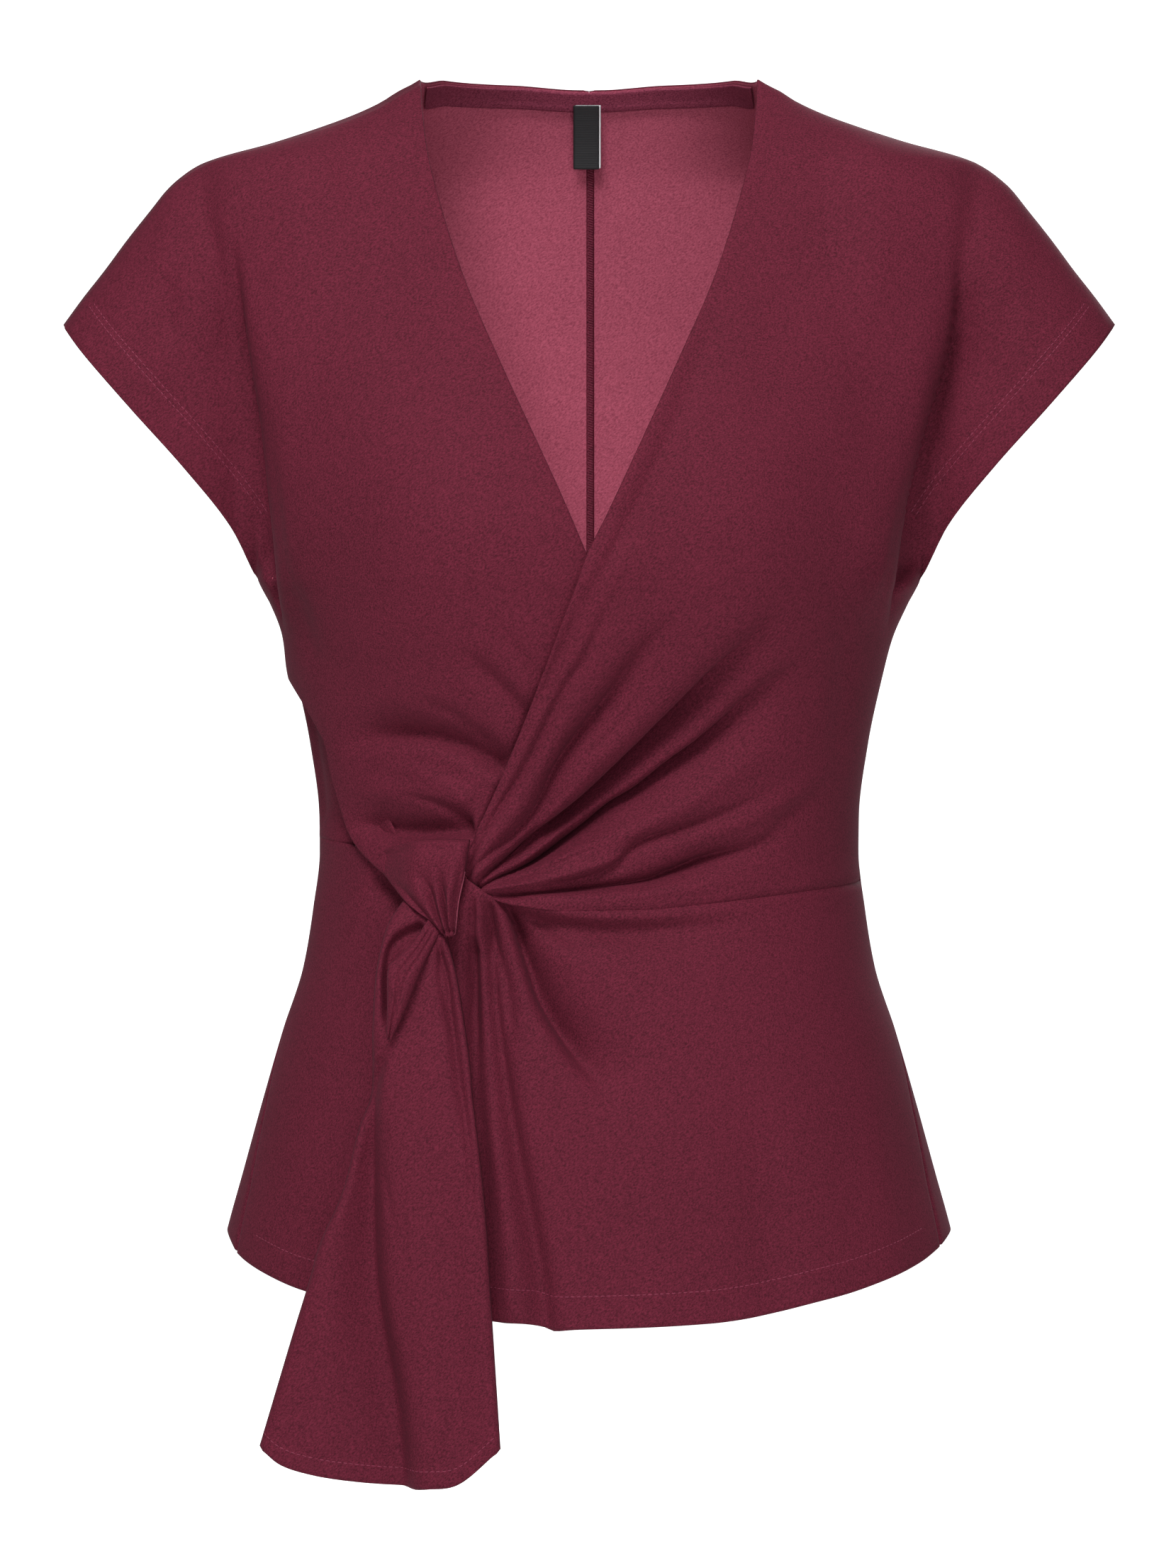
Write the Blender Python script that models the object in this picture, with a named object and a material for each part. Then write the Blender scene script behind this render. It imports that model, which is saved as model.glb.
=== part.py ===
"""Wrap blouse with cap sleeves, a side knot, a hanging tie end and a flared peplum.

The garment is filled out as if worn, and hangs from its shoulders. Every panel lies on one
smooth form, given by rings from neck to hem. A panel is a grid of points on that form, moved
out for the layers and folds, and closed to a wall. Lengths are in millimetres, +X is the
wearer's left, -Y is the front and +Z is up. The origin is midway between the high shoulder
points.
"""

import bpy
import bmesh
import numpy as np

MM = 0.001

# Cloth
WALL = 1.5
GAP = 0.4

# Neck, sleeve and seam sizes
NECK_HALF = 86.0
SHOULDER_POINT = 196.0
TIP = (267.0, -124.6)
UNDERARM = (168.0, -254.0)
MOUTH_HALF_DEPTH = 42.0
SLEEVE_ARCH = 75.0
SLEEVE_START = (90.0, 150.0)
V_POINT = (-1.0, -247.0)
KNOT = (-64.0, -408.0)
WAIST_RIGHT = -384.5
WAIST_LEFT = -407.0
BODY_POWER = 2.3
ARMHOLE_BLEND = 44.0

# Bust fullness that the gathers and the cut give
BUST_OUT = 82.0
BUST_DOWN = -236.0
BUST_SPREAD = (50.0, 62.0)
BUST_FULL = 9.0

# The shoulder line from the high shoulder point to the sleeve tip
SHOULDER_COLUMNS = ("x", "z")
SHOULDER = (
    (86.0, 0.0),
    (91.0, -3.0),
    (98.0, -6.5),
    (103.0, -10.0),
    (118.0, -17.3),
    (137.3, -24.5),
    (159.3, -31.7),
    (196.0, -42.5),
    (211.7, -53.3),
    (223.7, -67.7),
    (235.1, -82.1),
    (245.7, -96.5),
    (257.0, -110.9),
    (267.0, -124.6),
)

# Rings of the filled-out form below the shoulder point
RING_COLUMNS = ("z", "half_width", "front", "back")
RINGS = (
    (0.0, 86.0, 10.0, 60.0),
    (-10.0, 103.0, 21.0, 67.0),
    (-25.0, 138.0, 33.0, 76.0),
    (-42.5, 196.0, 43.0, 84.0),
    (-60.0, 197.0, 52.0, 90.0),
    (-90.0, 191.0, 67.0, 98.0),
    (-125.0, 184.0, 84.0, 104.0),
    (-154.0, 178.0, 97.0, 106.0),
    (-184.0, 173.0, 109.0, 105.0),
    (-212.0, 170.0, 117.0, 102.0),
    (-240.0, 168.5, 121.0, 98.0),
    (-254.0, 168.0, 121.0, 96.0),
    (-266.0, 162.0, 119.5, 94.5),
    (-284.0, 154.0, 117.0, 92.0),
    (-302.0, 149.2, 113.0, 89.5),
    (-338.0, 141.5, 104.5, 85.0),
    (-374.0, 137.0, 98.5, 82.0),
    (-392.0, 136.8, 97.5, 82.0),
    (-420.0, 140.0, 100.0, 87.0),
    (-450.0, 145.0, 107.0, 95.0),
    (-482.0, 155.2, 114.0, 103.0),
    (-518.0, 165.6, 120.0, 110.0),
    (-554.0, 175.5, 125.0, 115.0),
    (-585.0, 184.0, 128.5, 119.0),
    (-640.0, 196.0, 133.0, 124.0),
)

# The sleeve mouth from tip to underarm, and the front neckline from shoulder to V
SLEEVE_HEM = ((267.0, -124.6), (254.0, -141.5), (229.0, -170.0), (203.0, -199.0), (181.0, -227.0), UNDERARM)
NECKLINE = ((86.0, 0.0), (84.5, -18.0), (79.5, -50.0), (64.5, -101.0), (45.0, -148.0), (15.0, -214.0))

# The wrap's free edge from the V to the knot, and how far the under front runs past it
WRAP_EDGE = (V_POINT, (-18.0, -293.0), (-29.0, -322.0), (-41.0, -351.6), (-52.6, -378.0), (-61.0, -395.0))
UNDERLAP = (20.0, 6.0)
UNDER_V = (8.0, -270.0)
LEFT_GATHER = (WRAP_EDGE[-1], (-61.5, -400.0), (-60.0, -405.0), (-56.0, -407.4))
RIGHT_GATHER = ((-41.0, -389.0), (-60.0, -398.0), (-80.0, -413.0))

# The right front's folded lower edge, from the side seam to the knot, and the layer under it
FOLD_EDGE = (
    (-149.0, -302.6),
    (-140.2, -316.3),
    (-134.5, -326.0),
    (-128.8, -337.5),
    (-126.0, -351.5),
    (-120.8, -370.3),
    (-115.9, -384.2),
    (-107.0, -395.5),
    (-94.0, -406.0),
    (-80.0, -413.0),
)
UNDER_LAYER_TOP = ((-148.9, -303.6), (-132.0, -306.0))
UNDER_LAYER_INNER = ((-132.0, -306.0), (-112.0, -340.0), (-104.0, -370.0), (-90.0, -396.3))

# The waist seam across the front and back, and the curved hem
WAIST_COLUMNS = ("x", "z")
WAIST = (
    (-136.9, -384.5),
    (-127.8, -386.9),
    (-112.7, -389.7),
    (-92.0, -396.0),
    (-78.0, -399.0),
    (-64.0, -402.0),
    (-56.0, -407.8),
    (-44.0, -415.0),
    (-31.0, -418.0),
    (-10.0, -420.0),
    (24.0, -419.5),
    (59.0, -416.6),
    (95.0, -412.6),
    (138.1, -407.0),
)
BACK_WAIST_MIDDLE = -397.0
HEM_COLUMNS = ("x", "z")
HEM = (
    (-186.0, -583.0),
    (-175.3, -593.0),
    (-160.6, -600.2),
    (-141.0, -607.0),
    (-100.0, -614.2),
    (-70.0, -617.0),
    (-45.0, -618.8),
    (-31.0, -619.5),
    (-24.0, -620.6),
    (-17.0, -622.6),
    (0.0, -622.2),
    (24.0, -621.5),
    (59.0, -619.8),
    (76.0, -618.0),
    (94.0, -614.8),
    (111.0, -611.0),
    (129.0, -607.0),
    (148.0, -601.2),
    (166.0, -594.5),
    (176.6, -588.5),
    (186.0, -583.0),
)

# The peplum's side seams: they stay at the side as far as the hip, then run forward
SIDE_SEAM_COLUMNS = ("z", "forward")
SIDE_SEAM = ((-384.0, 0.0), (-470.0, 0.0), (-495.0, 12.0), (-520.0, 25.0), (-560.0, 37.0), (-590.0, 42.0))

# Heights that the layers and the knot add to the form
FAN_HOLD = 5.0
RIGHT_HOLD = 2.0
OVERLAP_RAISE = 5.5
OVERLAP_REACH = 26.0
FOLD_EDGE_RAISE = 2.8
FOLD_EDGE_REACH = 22.0
UNDER_LAYER_SINK = 3.4
KNOT_RISE = 13.0
KNOT_REACH = 30.0
TUCK = 9.0

# Folds. Each runs from its start through a bend to its end, in front view. Depth is inward where
# negative. left and right are the half widths on each side of the way it runs, at start and end.
FOLD_COLUMNS = ("name", "start", "bend", "end", "depth", "left", "right", "fade_in", "fade_out")
LEFT_FRONT_FOLDS = (
    ("edge_roll", (-56, -388), (-28, -322), (8, -246), -2.0, (2.5, 4.0), (2.5, 4.0), 0.10, 0.35),
    ("first", (-54, -391), (-20, -325), (24, -244), -3.2, (2.5, 5.0), (3.0, 5.0), 0.12, 0.45),
    ("second", (-52, -395), (-14, -345), (46, -275), -4.0, (3.0, 8.0), (3.0, 8.0), 0.12, 0.50),
    ("deep", (-50, -399), (2, -362), (98, -266), -8.5, (3.0, 9.0), (3.0, 10.0), 0.10, 0.45),
    ("deep_low", (-48, -403), (16, -377), (106, -296), -7.5, (2.5, 7.0), (3.5, 11.0), 0.10, 0.45),
    ("low", (-46, -408), (22, -395), (80, -372), -5.5, (3.0, 9.0), (3.0, 9.0), 0.12, 0.40),
    ("lowest", (-44, -411), (14, -406), (88, -386), -6.0, (3.0, 6.0), (3.0, 6.0), 0.12, 0.35),
    ("armhole", (181, -102), (165, -184), (147, -290), -4.0, (7.0, 6.0), (7.0, 6.0), 0.35, 0.35),
    ("armhole_short", (193, -106), (188, -115), (181, -128), -2.0, (5.0, 5.0), (5.0, 5.0), 0.4, 0.4),
)
RIGHT_FRONT_FOLDS = (
    ("upper", (-66, -289), (-48, -310), (-30, -330), -3.5, (5.0, 6.0), (6.0, 7.0), 0.40, 0.3),
    ("middle", (-124, -340), (-84, -333), (-44, -352), -7.5, (5.0, 5.0), (9.0, 7.0), 0.35, 0.1),
    ("lower", (-112, -375), (-84, -379), (-58, -378), -4.0, (7.0, 6.0), (6.0, 5.0), 0.30, 0.2),
    ("armhole", (-173, -102), (-157, -205), (-151, -288), -4.0, (7.0, 6.0), (7.0, 6.0), 0.35, 0.35),
    ("sleeve", (-208, -96), (-213, -115), (-212, -140), -2.5, (6.0, 6.0), (6.0, 6.0), 0.4, 0.4),
)
BACK_FOLDS = (
    ("armhole", (176, -112), (163, -195), (149, -290), -4.0, (7.0, 6.0), (7.0, 6.0), 0.35, 0.35),
    ("waist_upper", (30, -330), (80, -345), (128, -338), -3.5, (6.0, 7.0), (7.0, 8.0), 0.4, 0.3),
    ("waist_lower", (24, -368), (70, -377), (124, -366), -4.0, (5.0, 7.0), (6.0, 7.0), 0.4, 0.3),
)
PEPLUM_FOLDS = (
    ("to_hem", (-50, -420), (-40, -480), (-21, -640), -7.0, (4.0, 6.0), (3.0, 12.0), 0.05, 0.0),
    ("beside_tie", (-58, -424), (-59, -490), (-56, -640), -6.0, (4.0, 9.0), (4.0, 9.0), 0.05, 0.0),
    ("outward", (-44, -420), (-22, -454), (22, -510), -5.0, (3.0, 12.0), (3.0, 14.0), 0.05, 0.5),
    ("flute_left", (70, -470), (84, -540), (92, -640), -4.0, (14.0, 20.0), (14.0, 20.0), 0.6, 0.0),
    ("flute_right", (-112, -470), (-124, -540), (-134, -640), -4.0, (14.0, 18.0), (14.0, 18.0), 0.6, 0.0),
)
BACK_PEPLUM_FOLDS = (
    ("flute_middle", (6, -450), (4, -540), (-4, -640), -5.0, (15.0, 22.0), (15.0, 22.0), 0.6, 0.0),
    ("flute_left", (84, -455), (96, -540), (104, -640), -5.0, (14.0, 20.0), (14.0, 20.0), 0.6, 0.0),
    ("flute_right", (-78, -450), (-90, -540), (-100, -640), -5.0, (14.0, 20.0), (14.0, 20.0), 0.6, 0.0),
)

# The knot: a band of cloth over it, gathered to a point below
BAND_TOP = ((-107.5, -395.0), (-100.7, -390.3), (-91.7, -387.6), (-83.0, -385.8), (-70.0, -385.2), (-58.9, -385.5))
BAND_POINT = ((-71.5, -431.5), (-66.0, -430.6))
BAND_LOW_EDGE = ((-107.5, -395.0), (-100.0, -404.3), (-91.0, -414.6), (-85.2, -419.4), (-78.6, -424.6), (-71.5, -431.5))
BAND_RIGHT_EDGE = ((-58.9, -385.5), (-60.3, -395.2), (-62.0, -404.0), (-64.1, -413.0), (-65.3, -424.0), (-66.0, -430.6))
BAND_RAISE = (7.5, 25.0)
BAND_RISES = (-107.5, -85.0)
BAND_TOP_CURL = 5.0
BAND_RIGHT_CURL = 3.0
BAND_FOLDS = (
    ("left_gather", (-70, -430), (-78, -412), (-84, -402), -2.5, (1.2, 3.0), (1.2, 3.0), 0.02, 0.5),
    ("mid_gather", (-69, -430), (-73, -412), (-76, -398), -2.5, (1.2, 3.0), (1.2, 3.0), 0.02, 0.5),
    ("right_gather", (-67, -430), (-67, -412), (-66, -396), -2.0, (1.0, 2.5), (1.0, 2.5), 0.02, 0.5),
)

# The hanging tie end, row by row: its edges in front view and how far forward they hang
TIE_COLUMNS = ("z", "left", "right", "left_y", "right_y")
TIE_ROWS = (
    (-412.0, -89.0, -74.0, -96.0, -102.5),
    (-425.6, -97.9, -72.5, -104.5, -106.0),
    (-440.0, -102.0, -68.1, -111.0, -113.0),
    (-455.0, -104.4, -64.5, -114.5, -117.0),
    (-477.0, -105.5, -60.9, -118.0, -121.0),
    (-495.0, -105.5, -58.4, -120.0, -124.0),
    (-511.0, -106.5, -57.1, -121.5, -126.0),
    (-527.7, -112.5, -55.0, -122.0, -128.5),
    (-557.0, -120.0, -51.6, -122.5, -132.0),
    (-582.4, -131.0, -49.6, -123.0, -134.5),
    (-600.0, -136.0, -48.6, -123.3, -136.0),
    (-631.0, -145.5, -46.6, -124.0, -138.5),
    (-680.0, -160.0, -43.4, -127.0, -140.0),
)
TIE_END = ((-160.0, -680.0), (-150.0, -688.5), (-133.5, -693.6), (-112.0, -697.0), (-94.0, -699.0), (-78.0, -699.4), (-62.5, -696.5), (-43.4, -680.0))
TIE_FOLDS = (
    ("valley", (-99, -484), (-107, -570), (-93, -700), -9.0, (2.5, 4.5), (8.0, 32.0), 0.12, 0.0),
    ("roll", (-74, -440), (-66, -480), (-57, -545), -3.0, (3.0, 5.0), (3.0, 5.0), 0.1, 0.4),
    ("cavity", (-80, -427), (-97, -440), (-98, -480), -7.0, (6.0, 5.0), (3.0, 2.5), 0.05, 0.2),
)
TWIST_LEFT = ((-78.8, -424.5), (-86.1, -435.3), (-93.4, -442.5), (-97.9, -448.0), (-98.3, -463.3), (-98.6, -481.0))
TWIST_RIGHT = ((-72.5, -428.8), (-78.8, -441.8), (-84.4, -454.3), (-87.8, -463.3), (-92.0, -473.3), (-96.6, -482.6))
TWIST_FORWARD = ((0.0, 109.3), (0.12, 112.5), (0.3, 118.5), (0.55, 122.8), (1.0, 124.2))

# Trim inside the back neck
NECK_BAND_HEIGHT = 8.0
NECK_BAND_WALL = 1.0
NECK_BAND_REACH = 74.0
TRIM_AIR = 0.8
LABEL_WIDTH = 13.0
LABEL_LENGTH = 31.0
LABEL_WALL = 1.0
LABEL_TOP = -8.0

WINE = (0.118, 0.016, 0.034, 1.0)
WINE_TRIM = (0.075, 0.011, 0.022, 1.0)
LABEL_BLACK = (0.012, 0.012, 0.014, 1.0)
CLOTH_ROUGHNESS = 0.85


def column(table, columns, name):
    """One named column of a table, as numbers."""
    return np.array([row[columns.index(name)] for row in table], float)


def curve_through(xs, ys):
    """A smooth function through rising xs that never swings past its values."""
    xs, ys = np.asarray(xs, float), np.asarray(ys, float)
    step = np.diff(xs)
    slope = np.diff(ys) / step
    inner = np.where(slope[:-1] * slope[1:] > 0, 2 * slope[:-1] * slope[1:] / (slope[:-1] + slope[1:] + 1e-12), 0.0)
    tangent = np.concatenate([[slope[0]], inner, [slope[-1]]])

    def value(x):
        x = np.clip(x, xs[0], xs[-1])
        i = np.clip(np.searchsorted(xs, x) - 1, 0, len(xs) - 2)
        t = (x - xs[i]) / step[i]
        h = step[i]
        return (
            ys[i] * (1 + 2 * t) * (1 - t) ** 2
            + h * tangent[i] * t * (1 - t) ** 2
            + ys[i + 1] * t**2 * (3 - 2 * t)
            - h * tangent[i + 1] * t**2 * (1 - t)
        )

    return value


def path(points, samples=160):
    """A smooth line through a few points, as a function of the share of its length."""
    p = np.asarray(points, float)
    if len(p) == 2:
        dense = p
    else:
        ends = np.vstack([2 * p[0] - p[1], p, 2 * p[-1] - p[-2]])
        pieces = []
        t = np.linspace(0, 1, samples // (len(p) - 1), endpoint=False)[:, None]
        for a, b, c, d in zip(ends[:-3], ends[1:-2], ends[2:-1], ends[3:]):
            pieces.append(
                0.5 * (2 * b + (c - a) * t + (2 * a - 5 * b + 4 * c - d) * t**2 + (3 * b - a - 3 * c + d) * t**3)
            )
        dense = np.vstack(pieces + [p[-1:]])
    length = np.concatenate([[0], np.cumsum(np.linalg.norm(np.diff(dense, axis=0), axis=1))])
    length /= length[-1]

    def at(share):
        return np.stack([np.interp(share, length, dense[:, k]) for k in range(dense.shape[1])], axis=-1)

    return at


def chain(*stretches):
    """Joins paths with corners between them. Each stretch is (path, share where it ends)."""

    def at(share):
        share = np.atleast_1d(np.asarray(share, float))
        found = np.zeros((len(share), 2))
        begin = 0.0
        for line, end in stretches:
            inside = (share >= begin - 1e-9) & (share <= end + 1e-9)
            found[inside] = line((share[inside] - begin) / (end - begin))
            begin = end
        return found

    return at


def mirrored(points):
    """The same points on the wearer's other side."""
    return tuple((-x, z) for x, z in points)


def closing(count, share=0.4):
    """Shares from 0 to 1 that end close together, for a surface that turns over an edge there."""
    t = np.linspace(1, 0, count)
    scale = 1 / (share**2 + 2 * share * (1 - share))
    return 1 - np.where(t < share, scale * t**2, scale * (share**2 + 2 * share * (t - share)))


def spans(stops, counts, last=None):
    """Rising shares with a whole number of steps between stops. last replaces the last span's own shares."""
    found = [np.zeros(1)]
    for low, high, count in zip(stops[:-1], stops[1:], counts):
        share = np.linspace(0, 1, count + 1)
        if last is not None and high == stops[-1]:
            share = last(count + 1)
        found.append(low + (high - low) * share[1:])
    return np.concatenate(found)


def smooth_step(low, high, x):
    t = np.clip((x - low) / (high - low), 0, 1)
    return t * t * (3 - 2 * t)


def patch(first, last, start, end, across, along, hold=1.0):
    """A grid of (x, z) between four edges. first and last run across, start and end run along.

    A hold over 1 keeps the bends of start and end near those edges, so that the lines between
    the first and last edges stay nearly straight.
    """
    u = across[None, :, None]
    v = along[:, None, None]
    top, bottom = first(across)[None], last(across)[None]
    left, right = start(along)[:, None], end(along)[:, None]
    straight_left = (1 - v) * top[:, :1] + v * bottom[:, :1]
    straight_right = (1 - v) * top[:, -1:] + v * bottom[:, -1:]
    straight = (1 - v) * top + v * bottom
    return straight + (1 - u) ** hold * (left - straight_left) + u**hold * (right - straight_right)


shoulder_height = curve_through(column(SHOULDER, SHOULDER_COLUMNS, "x"), column(SHOULDER, SHOULDER_COLUMNS, "z"))
ring_down = -column(RINGS, RING_COLUMNS, "z")
ring_width = curve_through(ring_down, column(RINGS, RING_COLUMNS, "half_width"))
ring_front = curve_through(ring_down, column(RINGS, RING_COLUMNS, "front"))
ring_back = curve_through(ring_down, column(RINGS, RING_COLUMNS, "back"))
waist_height = curve_through(column(WAIST, WAIST_COLUMNS, "x"), column(WAIST, WAIST_COLUMNS, "z"))
hem_height = curve_through(column(HEM, HEM_COLUMNS, "x"), column(HEM, HEM_COLUMNS, "z"))


def half_width(z):
    """Half width of the form: the shoulder line down to the shoulder point, then the rings."""
    xs = np.linspace(NECK_HALF, SHOULDER_POINT, 300)
    on_shoulder = np.interp(-z, -shoulder_height(xs), xs)
    return np.where(z > shoulder_height(SHOULDER_POINT), on_shoulder, ring_width(-z))


def sleeve_depth(x, z):
    """Depth of the cap sleeve, an oval tube that closes along the shoulder and at the underarm."""
    mouth = np.subtract(TIP, UNDERARM)
    half = np.linalg.norm(mouth) / 2
    centre = np.add(TIP, UNDERARM) / 2
    across = ((x - centre[0]) * mouth[0] + (z - centre[1]) * mouth[1]) / (2 * half**2)
    below = 0.75 * np.clip(shoulder_height(x) - z, 0, None)
    arch = np.sqrt(1 - (1 - np.clip(below / SLEEVE_ARCH, 0, 1)) ** 2)
    closing = np.sqrt(1 - np.clip(-across, 0, 1) ** 2)
    return MOUTH_HALF_DEPTH * arch * closing * smooth_step(*SLEEVE_START, x)


def form_depth(x, z, back=False):
    """How far the form stands out from the plane of the side seams, to the front or the back."""
    x = np.abs(x)
    width = half_width(z)
    across = np.clip(x / width, 0, 1)
    body = np.where(back, ring_back(-z), ring_front(-z)) * np.sqrt(1 - across**BODY_POWER)
    spread_x, spread_z = BUST_SPREAD
    bust = np.exp(-(((x - BUST_OUT) / spread_x) ** 2) - ((z - BUST_DOWN) / spread_z) ** 2)
    body = body + np.where(back, 0.0, BUST_FULL * bust * (1 - across**4))
    sleeve = sleeve_depth(x, z)
    reach = np.minimum(ARMHOLE_BLEND, 2 * np.minimum(body, sleeve)) + 1e-9
    near = np.clip(1 - np.abs(body - sleeve) / reach, 0, 1)
    return np.maximum(body, sleeve) + near**2 * reach / 4


def form_point(x, z, back=False, shift=None):
    """Points on the form and the way out of it. shift moves them in Y to leave the seam's gap."""
    step = 0.4
    sign = np.where(back, 1.0, -1.0) * np.ones_like(x)
    shift = sign * GAP / 2 if shift is None else shift
    inward = np.where(x > 0, -step, step)
    here = form_depth(x, z, back)
    slope_x = (form_depth(x + inward, z, back) - here) / inward
    slope_z = (here - form_depth(x, z - step, back)) / step
    out = np.stack([-slope_x, sign, -slope_z], axis=-1)
    out /= np.linalg.norm(out, axis=-1, keepdims=True)
    return np.stack([x, sign * here + shift, z], axis=-1), out


def fold_depth(x, z, folds, side=1.0):
    """Sum of the folds' depths at points in front view. side -1 mirrors them."""
    total = np.zeros_like(x)
    t = np.linspace(0, 1, 50)
    x = x * side
    for row in folds:
        fold = dict(zip(FOLD_COLUMNS, row))
        a, b, c = (np.array(fold[k], float) for k in ("start", "bend", "end"))
        middle = 2 * b - (a + c) / 2
        line = ((1 - t) ** 2)[:, None] * a + (2 * t * (1 - t))[:, None] * middle + (t**2)[:, None] * c
        ahead = np.gradient(line, axis=0)
        ahead /= np.linalg.norm(ahead, axis=1, keepdims=True)
        away = np.stack([x, z], axis=-1)[..., None, :] - line
        near = np.argmin((away**2).sum(-1), axis=-1)
        offset = np.take_along_axis(away, near[..., None, None], axis=-2)[..., 0, :]
        aside = ahead[near][..., 0] * offset[..., 1] - ahead[near][..., 1] * offset[..., 0]
        past = np.abs((ahead[near] * offset).sum(-1))
        share = t[near]
        left = fold["left"][0] + share * (fold["left"][1] - fold["left"][0])
        right = fold["right"][0] + share * (fold["right"][1] - fold["right"][0])
        width = np.where(aside > 0, left, right)
        strength = smooth_step(-1e-6, fold["fade_in"] + 1e-6, share)
        strength = strength * (1 - smooth_step(1 - fold["fade_out"], 1 + 1e-6, share))
        total += fold["depth"] * strength * np.exp(-((aside / width) ** 2) - (past / (left + right)) ** 2)
    return total


def edge_distance(x, z, points):
    """Distance in front view to a line."""
    line = path(points)(np.linspace(0, 1, 80))
    return np.sqrt(((np.stack([x, z], axis=-1)[..., None, :] - line) ** 2).sum(-1)).min(-1)


def knot_rise(x, z):
    return KNOT_RISE * np.exp(-(((x - KNOT[0]) ** 2 + (z - KNOT[1]) ** 2) / KNOT_REACH**2))


def cell_normals(points):
    """The way out of a grid at each of its points, to either side."""
    along = np.gradient(points, axis=0)
    across = np.gradient(points, axis=1)
    normal = np.cross(along, across)
    return normal / np.maximum(np.linalg.norm(normal, axis=-1, keepdims=True), 1e-9)


def inner_depth(outer, wall):
    """The inside of a wall: its outside moved in, with the folds too narrow for the wall filled."""
    low = outer.copy()
    for axis in (0, 1):
        edge = [(0, 0), (0, 0)]
        edge[axis] = (1, 1)
        wide = np.pad(low, edge, mode="edge")
        before, after = (wide[:-2], wide[2:]) if axis == 0 else (wide[:, :-2], wide[:, 2:])
        low = np.minimum(low, 0.5 * low + 0.25 * (before + after))
    return low - wall


def cloth_material(name, colour, roughness=CLOTH_ROUGHNESS):
    material = bpy.data.materials.new(name)
    material.use_nodes = True
    shader = material.node_tree.nodes["Principled BSDF"]
    shader.inputs["Base Color"].default_value = colour
    shader.inputs["Roughness"].default_value = roughness
    shader.inputs["Metallic"].default_value = 0.0
    material.diffuse_color = colour
    return material


def wall_object(name, outer, inner, material):
    """A closed solid between two grids of points."""
    rows, cols = outer.shape[:2]
    points = np.concatenate([outer.reshape(-1, 3), inner.reshape(-1, 3)]) * MM
    inside = rows * cols
    faces = []
    for r in range(rows - 1):
        for c in range(cols - 1):
            corner = r * cols + c
            quad = (corner, corner + 1, corner + cols + 1, corner + cols)
            faces.append(quad)
            faces.append(tuple(inside + k for k in reversed(quad)))
    rim = [(0, c) for c in range(cols)] + [(r, cols - 1) for r in range(1, rows)]
    rim += [(rows - 1, c) for c in range(cols - 2, -1, -1)] + [(r, 0) for r in range(rows - 2, 0, -1)]
    ring = [r * cols + c for r, c in rim]
    for here, there in zip(ring, ring[1:] + ring[:1]):
        faces.append((there, here, inside + here, inside + there))
    mesh = bpy.data.meshes.new(name)
    mesh.from_pydata([tuple(p) for p in points], [], faces)
    shell = bmesh.new()
    shell.from_mesh(mesh)
    bmesh.ops.recalc_face_normals(shell, faces=shell.faces)
    bmesh.ops.triangulate(shell, faces=shell.faces, quad_method="SHORT_EDGE")
    shell.to_mesh(mesh)
    shell.free()
    mesh.shade_smooth()
    mesh.set_sharp_from_angle(angle=np.radians(50))
    mesh.materials.append(material)
    piece = bpy.data.objects.new(name, mesh)
    bpy.context.scene.collection.objects.link(piece)
    return piece


def panel(name, grid, material, raised, ahead=0.0, back=False, shift=None, seams=(), low_seams=(), wall=WALL):
    """A wall on the form, raised out of it and moved ahead of it.

    seams are the parts of the grid's edge that meet another panel in the side plane, and
    low_seams those on the peplum's side seams, which run forward of that plane.
    """
    x, z = grid[..., 0], grid[..., 1]
    point, out = form_point(x, z, back, shift)
    gap = (GAP if np.any(back) else -GAP) / 2
    for edge in seams:
        point[edge][..., 1] = gap
    for edge in low_seams:
        point[edge][..., 1] = gap - seam_forward(z[edge])
    point[..., 1] -= ahead
    for edge in seams:
        flat = out[edge] * (1.0, 0.0, 1.0) + (0.0, 0.0, 1e-3)
        out[edge] = flat / np.linalg.norm(flat, axis=-1, keepdims=True)
    outer = point + out * raised[..., None]
    lean = np.abs((cell_normals(outer) * out).sum(-1))
    inner = point + out * inner_depth(raised, wall / np.clip(lean, 0.6, 1.0))[..., None]
    return wall_object(name, outer, inner, material)


def side_line(top, bottom, side, count=9):
    """Points down the side seam between two heights, on the wearer's left for side 1."""
    return [(side * float(ring_width(-z)), z) for z in np.linspace(top, bottom, count)]


def shoulder_line(side, count=15):
    return [(side * x, float(shoulder_height(x))) for x in np.linspace(NECK_HALF, TIP[0], count)]


def waist_line(start, end, lift, count=13):
    return [(x, float(waist_height(x)) + lift) for x in np.linspace(start, end, count)]


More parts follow.
